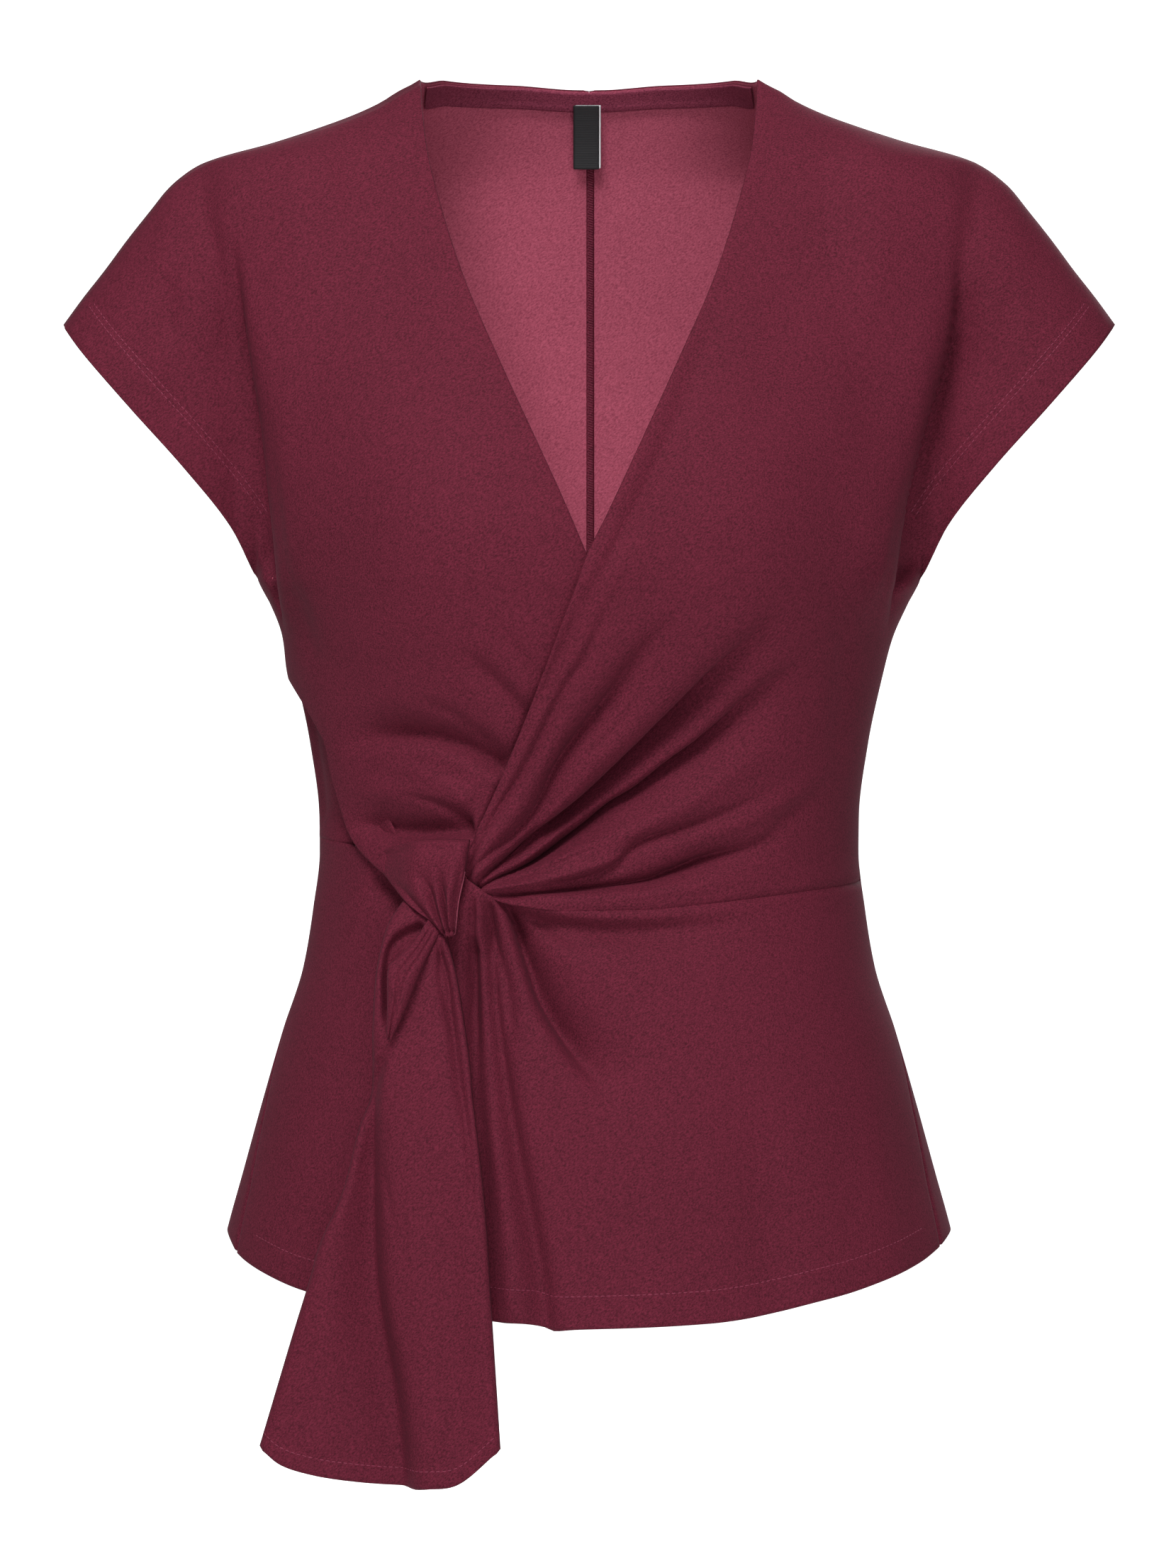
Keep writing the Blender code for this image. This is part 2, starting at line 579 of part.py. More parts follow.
def front_left(material):
    """The wearer's left front, gathered from shoulder, sleeve and side into the knot."""
    across = spans((0.0, 0.32, 0.54, 1.0), (9, 8, 14))
    along = spans((0.0, 0.40, 1.0), (10, 14), closing)
    outer = chain(
        (path(shoulder_line(1)), 0.32),
        (path(SLEEVE_HEM), 0.54),
        (path(side_line(UNDERARM[1], WAIST_LEFT + GAP / 2, 1)), 1.0),
    )
    neck = chain((path(WRAP_EDGE[::-1]), 0.40), (path((V_POINT,) + NECKLINE[::-1]), 1.0))
    waist = waist_line(LEFT_GATHER[-1][0], ring_width(-WAIST_LEFT), GAP / 2)
    gather = LEFT_GATHER[:-1] + (waist[0],)
    grid = patch(path(gather), outer, neck, path(waist), across, along, FAN_HOLD)
    x, z = grid[..., 0], grid[..., 1]
    overlap = np.exp(-((edge_distance(x, z, WRAP_EDGE) / OVERLAP_REACH) ** 2)) * smooth_step(-222, -256, z)
    lying = 1 - smooth_step(0.82, 1.0, along)[:, None]
    seam = 1 - smooth_step(0.88, 1.0, across)[None, :] * smooth_step(0.0, 0.15, along)[:, None]
    raised = (OVERLAP_RAISE * overlap + fold_depth(x, z, LEFT_FRONT_FOLDS)) * lying * seam
    seams = ((-1, slice(0, 10)), (-1, slice(17, None)))
    return panel("front_left", grid, material, raised, knot_rise(x, z), seams=seams)


def front_right(material):
    """The wearer's right front: its neckline runs under the left front, its lower edge is a fold."""
    across = spans((0.0, 0.22, 1.0), (5, 14), closing)
    along = spans((0.0, 0.40, 0.48, 1.0), (9, 3, 21))
    side = side_line(UNDERARM[1], FOLD_EDGE[0][1], -1, 5)
    outer = chain((path(mirrored(SLEEVE_HEM)), 0.40), (path(side), 1.0))
    shift_x, shift_z = UNDERLAP
    under = [UNDER_V] + [(x + shift_x, z + shift_z) for x, z in WRAP_EDGE[1:-1]] + [RIGHT_GATHER[0]]
    neck = chain(
        (path(mirrored(NECKLINE) + (V_POINT,)), 0.40),
        (path((V_POINT, UNDER_V)), 0.48),
        (path(under), 1.0),
    )
    bottom = chain((path(RIGHT_GATHER), 0.22), (path(FOLD_EDGE[::-1][:-1] + (side[-1],)), 1.0))
    grid = patch(path(shoulder_line(-1)), bottom, neck, outer, across, along, RIGHT_HOLD)
    x, z = grid[..., 0], grid[..., 1]
    depth = form_depth(x, z)
    lying = 1 - smooth_step(0.82, 1.0, across)[None, :]
    raised = FOLD_EDGE_RAISE * np.exp(-((edge_distance(x, z, FOLD_EDGE) / FOLD_EDGE_REACH) ** 2))
    raised = raised * smooth_step(0.0, 8.0, depth) + fold_depth(x, z, RIGHT_FRONT_FOLDS) * lying
    wrap = path(WRAP_EDGE)(np.linspace(0, 1, 80))
    beyond = x - np.interp(-z, -wrap[:, 1], wrap[:, 0])
    ahead = knot_rise(x, z) - TUCK * smooth_step(-4.0, 12.0, beyond) * smooth_step(-285.0, -345.0, z)
    seams = ((0, slice(None)), (slice(9, None), -1))
    return panel("front_right", grid, material, raised, ahead, seams=seams)


def front_right_under(material):
    """The layer between the right front's folded edge, the side seam and the waist seam."""
    across = 1 - closing(7)[::-1]
    along = np.linspace(0, 1, 10)
    side = side_line(UNDER_LAYER_TOP[0][1], WAIST_RIGHT + GAP / 2, -1)
    top = (side[0], UNDER_LAYER_TOP[1])
    waist = waist_line(side[-1][0], UNDER_LAYER_INNER[-1][0], GAP / 2)
    waist[0] = side[-1]
    inner = UNDER_LAYER_INNER[:-1] + (waist[-1],)
    grid = patch(path(top), path(waist), path(side), path(inner), across, along)
    x, z = grid[..., 0], grid[..., 1]
    showing = smooth_step(0.8, 1.0, along)[:, None] * smooth_step(-103.0, -111.0, x)
    sink = smooth_step(0.0, 14.0, form_depth(x, z)) * (1 - showing)
    raised = -UNDER_LAYER_SINK * sink
    return panel("front_right_under", grid, material, raised, knot_rise(x, z), seams=((slice(None), 0),))


def back_half(name, side, material):
    """One half of the back bodice, from the centre back seam to the sleeve and side seam."""
    across = spans((0.0, 0.34, 1.0), (6, 10), closing)
    across[:7] = 0.34 * closing(7)
    along = spans((0.0, 0.05, 0.46, 1.0), (2, 6, 9))
    waist_side = WAIST_LEFT if side > 0 else WAIST_RIGHT
    width = float(ring_width(-waist_side))
    middle = side * GAP / 2
    top = chain((path(((middle, 0.0), (side * NECK_HALF, 0.0))), 0.34), (path(shoulder_line(side)), 1.0))
    hem = SLEEVE_HEM if side > 0 else mirrored(SLEEVE_HEM)
    outer = chain((path(hem), 0.46), (path(side_line(UNDERARM[1], waist_side + GAP / 2, side)), 1.0))
    bottom = path(((middle, BACK_WAIST_MIDDLE + GAP / 2), (side * width, waist_side + GAP / 2)))
    centre = path(((middle, 0.0), (middle, BACK_WAIST_MIDDLE + GAP / 2)))
    grid = patch(top, bottom, centre, outer, across, along)
    x, z = grid[..., 0], grid[..., 1]
    lying = (1 - smooth_step(0.85, 1.0, across))[None, :] * (1 - smooth_step(0.85, 1.0, along))[:, None]
    raised = fold_depth(x, z, BACK_FOLDS, side) * lying * smooth_step(0.0, 0.15, across)[None, :]
    seams = ((0, slice(6, None)), (slice(8, None), -1))
    return panel(name, grid, material, raised, back=True, seams=seams)


def seam_forward(z):
    """How far forward of the side plane the peplum's side seam runs."""
    heights = -column(SIDE_SEAM, SIDE_SEAM_COLUMNS, "z")
    return np.interp(-z, heights, column(SIDE_SEAM, SIDE_SEAM_COLUMNS, "forward"))


def seam_reach(z, shift=0.0):
    """Half width in front view of the peplum's side seams, shift mm to the back of them."""
    depth = np.maximum(seam_forward(z) - shift, 0.0)
    return ring_width(-z) * (1 - (depth / ring_front(-z)) ** 2) ** (1 / BODY_POWER)


def seam_line(side, shift, count=40):
    """A peplum side seam in front view, from the waist to the hem."""
    bottom = HEM[0][1]
    for _ in range(20):
        bottom = 0.5 * bottom + 0.5 * float(hem_height(side * seam_reach(bottom)))
    zs = np.linspace((WAIST_LEFT if side > 0 else WAIST_RIGHT) - GAP / 2, bottom, count)
    return [(side * float(seam_reach(z, shift)), z) for z in zs]


def side_edges(z):
    """The two side edges of a peplum's grid: the part in the side plane, and all of each."""
    flat = int((seam_forward(z[:, 0]) <= 0).sum()), int((seam_forward(z[:, -1]) <= 0).sum())
    seams = ((slice(0, flat[0]), 0), (slice(0, flat[1]), -1))
    return seams, ((slice(None), 0), (slice(None), -1))


def peplum_front(material):
    """The front of the peplum, gathered up into the knot, with a curved hem."""
    across = np.linspace(0, 1, 38)
    along = spans((0.0, 0.3, 1.0), (5, 8))
    right, left = seam_line(-1, 0.0), seam_line(1, 0.0)
    waist = waist_line(right[0][0], left[0][0], -GAP / 2, 41)
    waist[0], waist[-1] = right[0], left[0]
    hem = [(x, float(hem_height(x))) for x in np.linspace(right[-1][0], left[-1][0], 41)]
    hem[0], hem[-1] = right[-1], left[-1]
    squeeze = 0.5 - 0.5 * np.cos(np.pi * across)
    across = 0.35 * across + 0.65 * squeeze
    grid = patch(path(waist, 320), path(hem, 320), path(right, 320), path(left, 320), across, along)
    x, z = grid[..., 0], grid[..., 1]
    lying = smooth_step(0.0, 0.08, across) * (1 - smooth_step(0.92, 1.0, across))
    raised = fold_depth(x, z, PEPLUM_FOLDS) * lying[None, :]
    hidden = smooth_step(-112.0, -103.0, x) * (1 - smooth_step(-67.0, -58.0, x)) * smooth_step(-425.0, -405.0, z)
    ahead = knot_rise(x, z) - UNDER_LAYER_SINK * hidden
    seams, edges = side_edges(z)
    return panel("peplum_front", grid, material, raised, ahead, seams=seams, low_seams=edges)


def peplum_back(material):
    """The back of the peplum. It wraps forward round the sides to meet the front near the hem."""
    along = spans((0.0, 0.3, 1.0), (5, 8))
    round_side, back_cols = 3, 23
    right, left = seam_line(-1, GAP), seam_line(1, GAP)
    rows = len(along)
    back_across = 0.5 - 0.5 * np.cos(np.pi * np.linspace(0, 1, back_cols))
    sides = []
    for side, seam in ((-1, right), (1, left)):
        edge = path(seam, 320)(along)
        lift = (HEM[0][1] - edge[-1, 1]) * smooth_step(0.45, 1.0, along)
        height = edge[:, 1] + lift
        silhouette = np.stack([side * ring_width(-height), height], axis=-1)
        shares = (1 - (1 - np.linspace(0, 1, round_side + 1)) ** 2)[:-1]
        sides.append((edge[:, None] + (silhouette - edge)[:, None] * shares[None, :, None], silhouette))
    (right_strip, right_turn), (left_strip, left_turn) = sides
    waist = path((tuple(right_turn[0]), (0.0, BACK_WAIST_MIDDLE - GAP / 2), tuple(left_turn[0])))
    hem_x = np.linspace(right_turn[-1][0], left_turn[-1][0], 31)
    hem = [(x, float(hem_height(x))) for x in hem_x]
    hem[0], hem[-1] = tuple(right_turn[-1]), tuple(left_turn[-1])
    turn_at = lambda turn: (lambda share: np.stack([np.interp(share, along, turn[:, k]) for k in (0, 1)], axis=-1))
    middle = patch(waist, path(hem, 320), turn_at(right_turn), turn_at(left_turn), back_across, along)
    grid = np.concatenate([right_strip, middle, left_strip[:, ::-1]], axis=1)
    back = np.zeros(grid.shape[:2], bool)
    back[:, round_side:-round_side] = True
    x, z = grid[..., 0], grid[..., 1]
    lying = smooth_step(0.0, 0.1, back_across) * (1 - smooth_step(0.9, 1.0, back_across))
    raised = np.zeros((rows, grid.shape[1]))
    raised[:, round_side:-round_side] = fold_depth(middle[..., 0], middle[..., 1], BACK_PEPLUM_FOLDS) * lying[None, :]
    shift = np.full(grid.shape[:2], GAP / 2)
    seams, edges = side_edges(z)
    seams = seams + tuple((slice(None), col) for col in (round_side, -round_side - 1))
    return panel("peplum_back", grid, material, raised, back=back, shift=shift, seams=seams, low_seams=edges)


def knot_band(material):
    """The cloth that wraps over the knot and gathers to a point below it."""
    across, along = np.linspace(0, 1, 15), np.linspace(0, 1, 12)
    grid = patch(path(BAND_TOP), path(BAND_POINT), path(BAND_LOW_EDGE), path(BAND_RIGHT_EDGE), across, along)
    x, z = grid[..., 0], grid[..., 1]
    low, high = BAND_RAISE
    ahead = low + (high - low) * smooth_step(*BAND_RISES, x)
    top = np.clip(1 - along / 0.25, 0, 1)[:, None] ** 2 * smooth_step(0.0, 0.3, across)[None, :]
    right = np.clip((across - 0.86) / 0.14, 0, 1)[None, :] ** 2
    ahead = ahead - BAND_TOP_CURL * top - BAND_RIGHT_CURL * right
    return panel("knot_band", grid, material, fold_depth(x, z, BAND_FOLDS), ahead)


def tie_end(material):
    """The wide tie end that hangs from the knot past the hem."""
    rows = [dict(zip(TIE_COLUMNS, row)) for row in TIE_ROWS]
    heights = np.array([row["z"] for row in rows])
    left = path([(row["left"], row["z"]) for row in rows], 400)
    right = path([(row["right"], row["z"]) for row in rows], 400)
    across, along = np.linspace(0, 1, 19), np.linspace(0, 1, 24)
    top = path(((rows[0]["left"], heights[0]), (rows[0]["right"], heights[0])))
    grid = patch(top, path(TIE_END, 400), left, right, across, along)
    x, z = grid[..., 0], grid[..., 1]
    near = curve_through(-heights, [row["left_y"] for row in rows])(-z)
    far = curve_through(-heights, [row["right_y"] for row in rows])(-z)
    y = near + (far - near) * across[None, :]
    folds = fold_depth(x, z, TIE_FOLDS)
    outer = np.stack([x, y - folds, z], axis=-1)
    lean = np.abs(cell_normals(outer)[..., 1])
    inner = np.stack([x, y - inner_depth(folds, WALL / np.clip(lean, 0.5, 1.0)), z], axis=-1)
    return wall_object("tie_end", outer, inner, material)


def tie_twist(material):
    """The leaf of the tie that turns over below the knot."""
    across, along = np.linspace(0, 1, 8), np.linspace(0, 1, 12)
    top = path((TWIST_LEFT[0], TWIST_RIGHT[0]))
    tip = path((TWIST_LEFT[-1], TWIST_RIGHT[-1]))
    grid = patch(top, tip, path(TWIST_LEFT), path(TWIST_RIGHT), across, along)
    x, z = grid[..., 0], grid[..., 1]
    forward = curve_through([row[0] for row in TWIST_FORWARD], [row[1] for row in TWIST_FORWARD])(along)
    bulge = 2.0 * np.sin(np.pi * across)[None, :] * np.sin(np.pi * np.clip(along, 0, 1))[:, None] ** 0.5
    y = -(forward[:, None] + bulge)
    outer = np.stack([x, y, z], axis=-1)
    inner = np.stack([x, y + WALL, z], axis=-1)
    return wall_object("tie_twist", outer, inner, material)


def neck_band(material):
    """The turned band along the inside of the back neck."""
    x = np.linspace(-NECK_BAND_REACH, NECK_BAND_REACH, 25)[None, :] * np.ones((3, 1))
    z = -0.3 - (NECK_BAND_HEIGHT - 0.3) * np.linspace(0, 1, 3)[:, None] * np.ones((1, 25))
    x = x * (1 + 0.02 * np.linspace(0, 1, 3)[:, None])
    point, out = form_point(x, z, True)
    lying = WALL + TRIM_AIR
    return wall_object("neck_band", point - out * lying, point - out * (lying + NECK_BAND_WALL), material)


def label(material):
    """The folded neck label, blank, hanging from the band at the centre back."""
    x = np.linspace(-LABEL_WIDTH / 2, LABEL_WIDTH / 2, 4)[None, :] * np.ones((8, 1)) - 1.5
    z = LABEL_TOP + 4.0 - (LABEL_LENGTH + 4.0) * np.linspace(0, 1, 8)[:, None] * np.ones((1, 4))
    point, out = form_point(x, z, True)
    lying = WALL + TRIM_AIR + NECK_BAND_WALL + GAP + 2.2 * np.linspace(0, 1, 8)[:, None, None] ** 1.5
    return wall_object("label", point - out * lying, point - out * (lying + LABEL_WALL), material)


def build():
    for item in list(bpy.data.objects):
        bpy.data.objects.remove(item, do_unlink=True)
    front_left(cloth_material("left_front_crepe", WINE))
    front_right(cloth_material("right_front_crepe", WINE))
    front_right_under(cloth_material("under_layer_crepe", WINE))
    back_half("back_left", 1, cloth_material("left_back_crepe", WINE))
    back_half("back_right", -1, cloth_material("right_back_crepe", WINE))
    peplum_front(cloth_material("front_peplum_crepe", WINE))
    peplum_back(cloth_material("back_peplum_crepe", WINE))
    knot_band(cloth_material("knot_crepe", WINE))
    tie_end(cloth_material("tie_crepe", WINE))
    tie_twist(cloth_material("twist_crepe", WINE))
    neck_band(cloth_material("neck_band_crepe", WINE_TRIM))
    label(cloth_material("label_tape", LABEL_BLACK, 0.6))


build()
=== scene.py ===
"""Looks of a wrap blouse with cap sleeves, a side knot, a hanging tie end and a flared peplum.

Every piece is a thin cloth shell on the same form as the CAD nodes, with finer folds placed one
by one, turned hems and tone-on-tone stitching. +X is the wearer's left, -Y is the front and +Z is
up. Lengths in the tables are millimetres; the objects are built in metres.
"""

import logging
from collections.abc import Callable
from dataclasses import dataclass
from enum import Enum

import bpy
import numpy as np
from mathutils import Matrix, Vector
from mathutils.bvhtree import BVHTree


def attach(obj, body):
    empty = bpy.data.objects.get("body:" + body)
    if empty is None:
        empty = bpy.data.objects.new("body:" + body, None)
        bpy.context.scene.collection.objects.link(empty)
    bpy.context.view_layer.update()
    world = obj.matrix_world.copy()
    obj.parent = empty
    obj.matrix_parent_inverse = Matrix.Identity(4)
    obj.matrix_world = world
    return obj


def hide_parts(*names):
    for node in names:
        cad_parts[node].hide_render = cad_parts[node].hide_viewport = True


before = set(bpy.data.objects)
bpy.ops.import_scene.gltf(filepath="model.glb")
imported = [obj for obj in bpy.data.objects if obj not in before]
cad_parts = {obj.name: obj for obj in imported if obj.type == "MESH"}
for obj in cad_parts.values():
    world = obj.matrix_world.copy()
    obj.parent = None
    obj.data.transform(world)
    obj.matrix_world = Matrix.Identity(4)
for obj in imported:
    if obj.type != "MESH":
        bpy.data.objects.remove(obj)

Array = np.ndarray
Line = Callable[[Array], Array]
Points = tuple[tuple[float, float], ...]

LOG = logging.getLogger("blouse")
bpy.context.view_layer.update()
BODY = "root"
MM = 0.001
# The gap between pieces at a seam and the thickness of the cloth, in millimetres
GAP = 0.1
WALL = 1.1


class Slot(Enum):
    """The record's material slots."""

    CREPE = "crepe"
    LABEL_TAPE = "label_tape"


class Held(Enum):
    """How a sheet of cloth is held."""

    HUNG = "hung"
    GATHERED = "gathered"
    FOLDED = "folded"


class Seen(Enum):
    """The side that a line of stitches is seen from, as the way a ray goes to meet the cloth."""

    FRONT = 1.0
    BACK = -1.0


def column(table: tuple, index: int) -> Array:
    """Takes one column of a table."""
    return np.array([row[index] for row in table], float)


def curve_through(xs: Array, ys: Array) -> Line:
    """Makes a smooth function through rising xs that never swings past its values.

    Args:
        xs: Rising places.
        ys: The value at each place.

    Returns:
        The function.
    """
    xs = np.asarray(xs, float)
    ys = np.asarray(ys, float)
    step = np.diff(xs)
    slope = np.diff(ys) / step
    mean = 2 * slope[:-1] * slope[1:] / (slope[:-1] + slope[1:] + 1e-12)
    inner = np.where(slope[:-1] * slope[1:] > 0, mean, 0.0)
    tangent = np.concatenate([[slope[0]], inner, [slope[-1]]])

    def value(x: Array) -> Array:
        """Evaluates the curve.

        Args:
            x: Places.

        Returns:
            The values there.
        """
        x = np.clip(x, xs[0], xs[-1])
        i = np.clip(np.searchsorted(xs, x) - 1, 0, len(xs) - 2)
        t = (x - xs[i]) / step[i]
        first = ys[i] * (1 + 2 * t) * (1 - t) ** 2 + step[i] * tangent[i] * t * (1 - t) ** 2
        return first + ys[i + 1] * t**2 * (3 - 2 * t) - step[i] * tangent[i + 1] * t**2 * (1 - t)

    return value


def path(points: Points, samples: int = 320) -> Line:
    """Makes a smooth line through a few points.

    Args:
        points: Points in front view.
        samples: How finely it is followed.

    Returns:
        The line as a function of the share of its length.
    """
    p = np.asarray(points, float)
    dense = p
    if len(p) > 2:
        ends = np.vstack([2 * p[0] - p[1], p, 2 * p[-1] - p[-2]])
        pieces = []
        t = np.linspace(0, 1, max(samples // (len(p) - 1), 4), endpoint=False)[:, None]
        for a, b, c, d in zip(ends[:-3], ends[1:-2], ends[2:-1], ends[3:]):
            square = (2 * a - 5 * b + 4 * c - d) * t**2
            pieces.append(0.5 * (2 * b + (c - a) * t + square + (3 * b - a - 3 * c + d) * t**3))
        dense = np.vstack(pieces + [p[-1:]])
    length = np.concatenate([[0], np.cumsum(np.linalg.norm(np.diff(dense, axis=0), axis=1))])
    length /= length[-1]

    def at(share: Array) -> Array:
        """Evaluates the line."""
        return np.stack([np.interp(share, length, dense[:, k]) for k in range(dense.shape[1])], axis=-1)

    return at


def chain(*stretches: tuple[Line, float]) -> Line:
    """Joins lines with corners between them.

    Args:
        *stretches: Each a line and the share where it ends.

    Returns:
        The joined line.
    """

    def at(share: Array) -> Array:
        """Evaluates the chain.

        Args:
            share: Shares of the whole.

        Returns:
            The points there.
        """
        share = np.atleast_1d(np.asarray(share, float))
        found = np.zeros((len(share), 2))
        begin = 0.0
        for line, end in stretches:
            inside = (share >= begin - 1e-9) & (share <= end + 1e-9)
            found[inside] = line((share[inside] - begin) / (end - begin))
            begin = end
        return found

    return at


def mirrored(points: Points) -> Points:
    """Mirrors points to the wearer's other side."""
    return tuple((-x, z) for x, z in points)


def closing(count: int, share: float = 0.4) -> Array:
    """Makes shares that end close together, for a surface that turns over an edge there.

    Args:
        count: How many.
        share: The part of the way over which they close up.

    Returns:
        Shares from 0 to 1.
    """
    t = np.linspace(1, 0, count)
    scale = 1 / (share**2 + 2 * share * (1 - share))
    return 1 - np.where(t < share, scale * t**2, scale * (share**2 + 2 * share * (t - share)))


def spans(stops: tuple, counts: tuple, last: Callable[[int], Array] | None = None) -> Array:
    """Makes rising shares with a whole number of steps between stops.

    Args:
        stops: The stops, from 0 to 1.
        counts: The steps in each span.
        last: Makes the last span's own shares.

    Returns:
        The shares.
    """
    found = [np.zeros(1)]
    for low, high, count in zip(stops[:-1], stops[1:], counts):
        share = np.linspace(0, 1, count + 1)
        if last is not None and high == stops[-1]:
            share = last(count + 1)
        found.append(low + (high - low) * share[1:])
    return np.concatenate(found)


def smooth_step(low: float, high: float, x: Array) -> Array:
    """Eases from 0 to 1."""
    t = np.clip((np.asarray(x, float) - low) / (high - low), 0, 1)
    return t * t * (3 - 2 * t)


def patch(
    first: Line, last: Line, start: Line, end: Line, across: Array, along: Array, hold: float = 1.0
) -> Array:
    """Fills a grid between four edges.

    Args:
        first: The edge of the first row.
        last: The edge of the last row.
        start: The edge of the first column.
        end: The edge of the last column.
        across: Shares of the columns.
        along: Shares of the rows.
        hold: Over 1 keeps the bends of start and end near those edges.

    Returns:
        The grid of points in front view.
    """
    u = across[None, :, None]
    v = along[:, None, None]
    top = first(across)[None]
    bottom = last(across)[None]
    left = start(along)[:, None]
    right = end(along)[:, None]
    straight_left = (1 - v) * top[:, :1] + v * bottom[:, :1]
    straight_right = (1 - v) * top[:, -1:] + v * bottom[:, -1:]
    straight = (1 - v) * top + v * bottom
    return straight + (1 - u) ** hold * (left - straight_left) + u**hold * (right - straight_right)


# The cut's lines in front view, in millimetres: x to the wearer's left, z up from the high shoulder point
SHOULDER = (
    (86.0, 0.0), (91.0, -3.0), (98.0, -6.5), (103.0, -10.0), (118.0, -17.3), (137.3, -24.5),
    (159.3, -31.7), (196.0, -42.5), (211.7, -53.3), (223.7, -67.7), (235.1, -82.1),
    (245.7, -96.5), (257.0, -110.9), (267.0, -124.6),
)
# Height, half width, front depth and back depth of the filled-out form's rings
RINGS = (
    (0.0, 86.0, 10.0, 60.0), (-10.0, 103.0, 21.0, 67.0), (-25.0, 138.0, 33.0, 76.0),
    (-42.5, 196.0, 43.0, 84.0), (-60.0, 197.0, 52.0, 90.0), (-90.0, 191.0, 67.0, 98.0),
    (-125.0, 184.0, 84.0, 104.0), (-154.0, 178.0, 97.0, 106.0), (-184.0, 173.0, 109.0, 105.0),
    (-212.0, 170.0, 117.0, 102.0), (-240.0, 168.5, 121.0, 98.0), (-254.0, 168.0, 121.0, 96.0),
    (-266.0, 162.0, 119.5, 94.5), (-284.0, 154.0, 117.0, 92.0), (-302.0, 149.2, 113.0, 89.5),
    (-338.0, 141.5, 104.5, 85.0), (-374.0, 137.0, 98.5, 82.0), (-392.0, 136.8, 97.5, 82.0),
    (-420.0, 140.0, 100.0, 87.0), (-450.0, 145.0, 107.0, 95.0), (-482.0, 155.2, 114.0, 103.0),
    (-518.0, 165.6, 120.0, 110.0), (-554.0, 175.5, 125.0, 115.0), (-585.0, 184.0, 128.5, 119.0),
    (-640.0, 196.0, 133.0, 124.0),
)
WAIST = (
    (-136.9, -384.5), (-127.8, -386.9), (-112.7, -389.7), (-92.0, -396.0), (-78.0, -399.0),
    (-64.0, -402.0), (-56.0, -407.8), (-44.0, -415.0), (-31.0, -418.0), (-10.0, -420.0),
    (24.0, -419.5), (59.0, -416.6), (95.0, -412.6), (138.1, -407.0),
)
HEM = (
    (-186.0, -583.0), (-175.3, -593.0), (-160.6, -600.2), (-141.0, -607.0), (-100.0, -614.2),
    (-70.0, -617.0), (-45.0, -618.8), (-31.0, -619.5), (-24.0, -620.6), (-17.0, -622.6),
    (0.0, -622.2), (24.0, -621.5), (59.0, -619.8), (76.0, -618.0), (94.0, -614.8),
    (111.0, -611.0), (129.0, -607.0), (148.0, -601.2), (166.0, -594.5), (176.6, -588.5),
    (186.0, -583.0),
)
# Height, and how far forward of the side plane the peplum's side seam runs there
SIDE_SEAM = ((-384.0, 0.0), (-470.0, 0.0), (-495.0, 12.0), (-520.0, 25.0), (-560.0, 37.0), (-590.0, 42.0))
UNDERARM = (168.0, -254.0)
TIP = (267.0, -124.6)
SLEEVE_HEM = (TIP, (254.0, -141.5), (229.0, -170.0), (203.0, -199.0), (181.0, -227.0), UNDERARM)
# How far from the edge each turned hem ends, and where its rows of stitches lie
SLEEVE_TURN = (17.5, (16.5, 19.3))
PEPLUM_TURN = (16.5, (15.5,))
TIE_TURN = (8.5, (8.0,))
NECKLINE = ((86.0, 0.0), (84.5, -18.0), (79.5, -50.0), (64.5, -101.0), (45.0, -148.0), (15.0, -214.0))
V_POINT = (-1.0, -247.0)
WRAP_EDGE = (V_POINT, (-18.0, -293.0), (-29.0, -322.0), (-41.0, -351.6), (-52.6, -378.0), (-61.0, -395.0))
LEFT_GATHER = (WRAP_EDGE[-1], (-61.5, -400.0), (-60.0, -405.0), (-56.0, -407.4))
RIGHT_GATHER = ((-41.0, -389.0), (-60.0, -398.0), (-80.0, -413.0))
# How far the right front runs on behind the left front's edge
UNDERLAP = (20.0, 6.0)
UNDER_V = (8.0, -270.0)
FOLD_EDGE = (
    (-149.0, -302.6), (-140.2, -316.3), (-134.5, -326.0), (-128.8, -337.5), (-126.0, -351.5),
    (-120.8, -370.3), (-115.9, -384.2), (-107.0, -395.5), (-94.0, -406.0), (-80.0, -413.0),
)
UNDER_LAYER_TOP = ((-148.9, -303.6), (-132.0, -306.0))
UNDER_LAYER_INNER = ((-132.0, -306.0), (-112.0, -340.0), (-104.0, -370.0), (-90.0, -396.3))
WAIST_RIGHT = -384.5
WAIST_LEFT = -407.0
BACK_WAIST_MIDDLE = -397.0


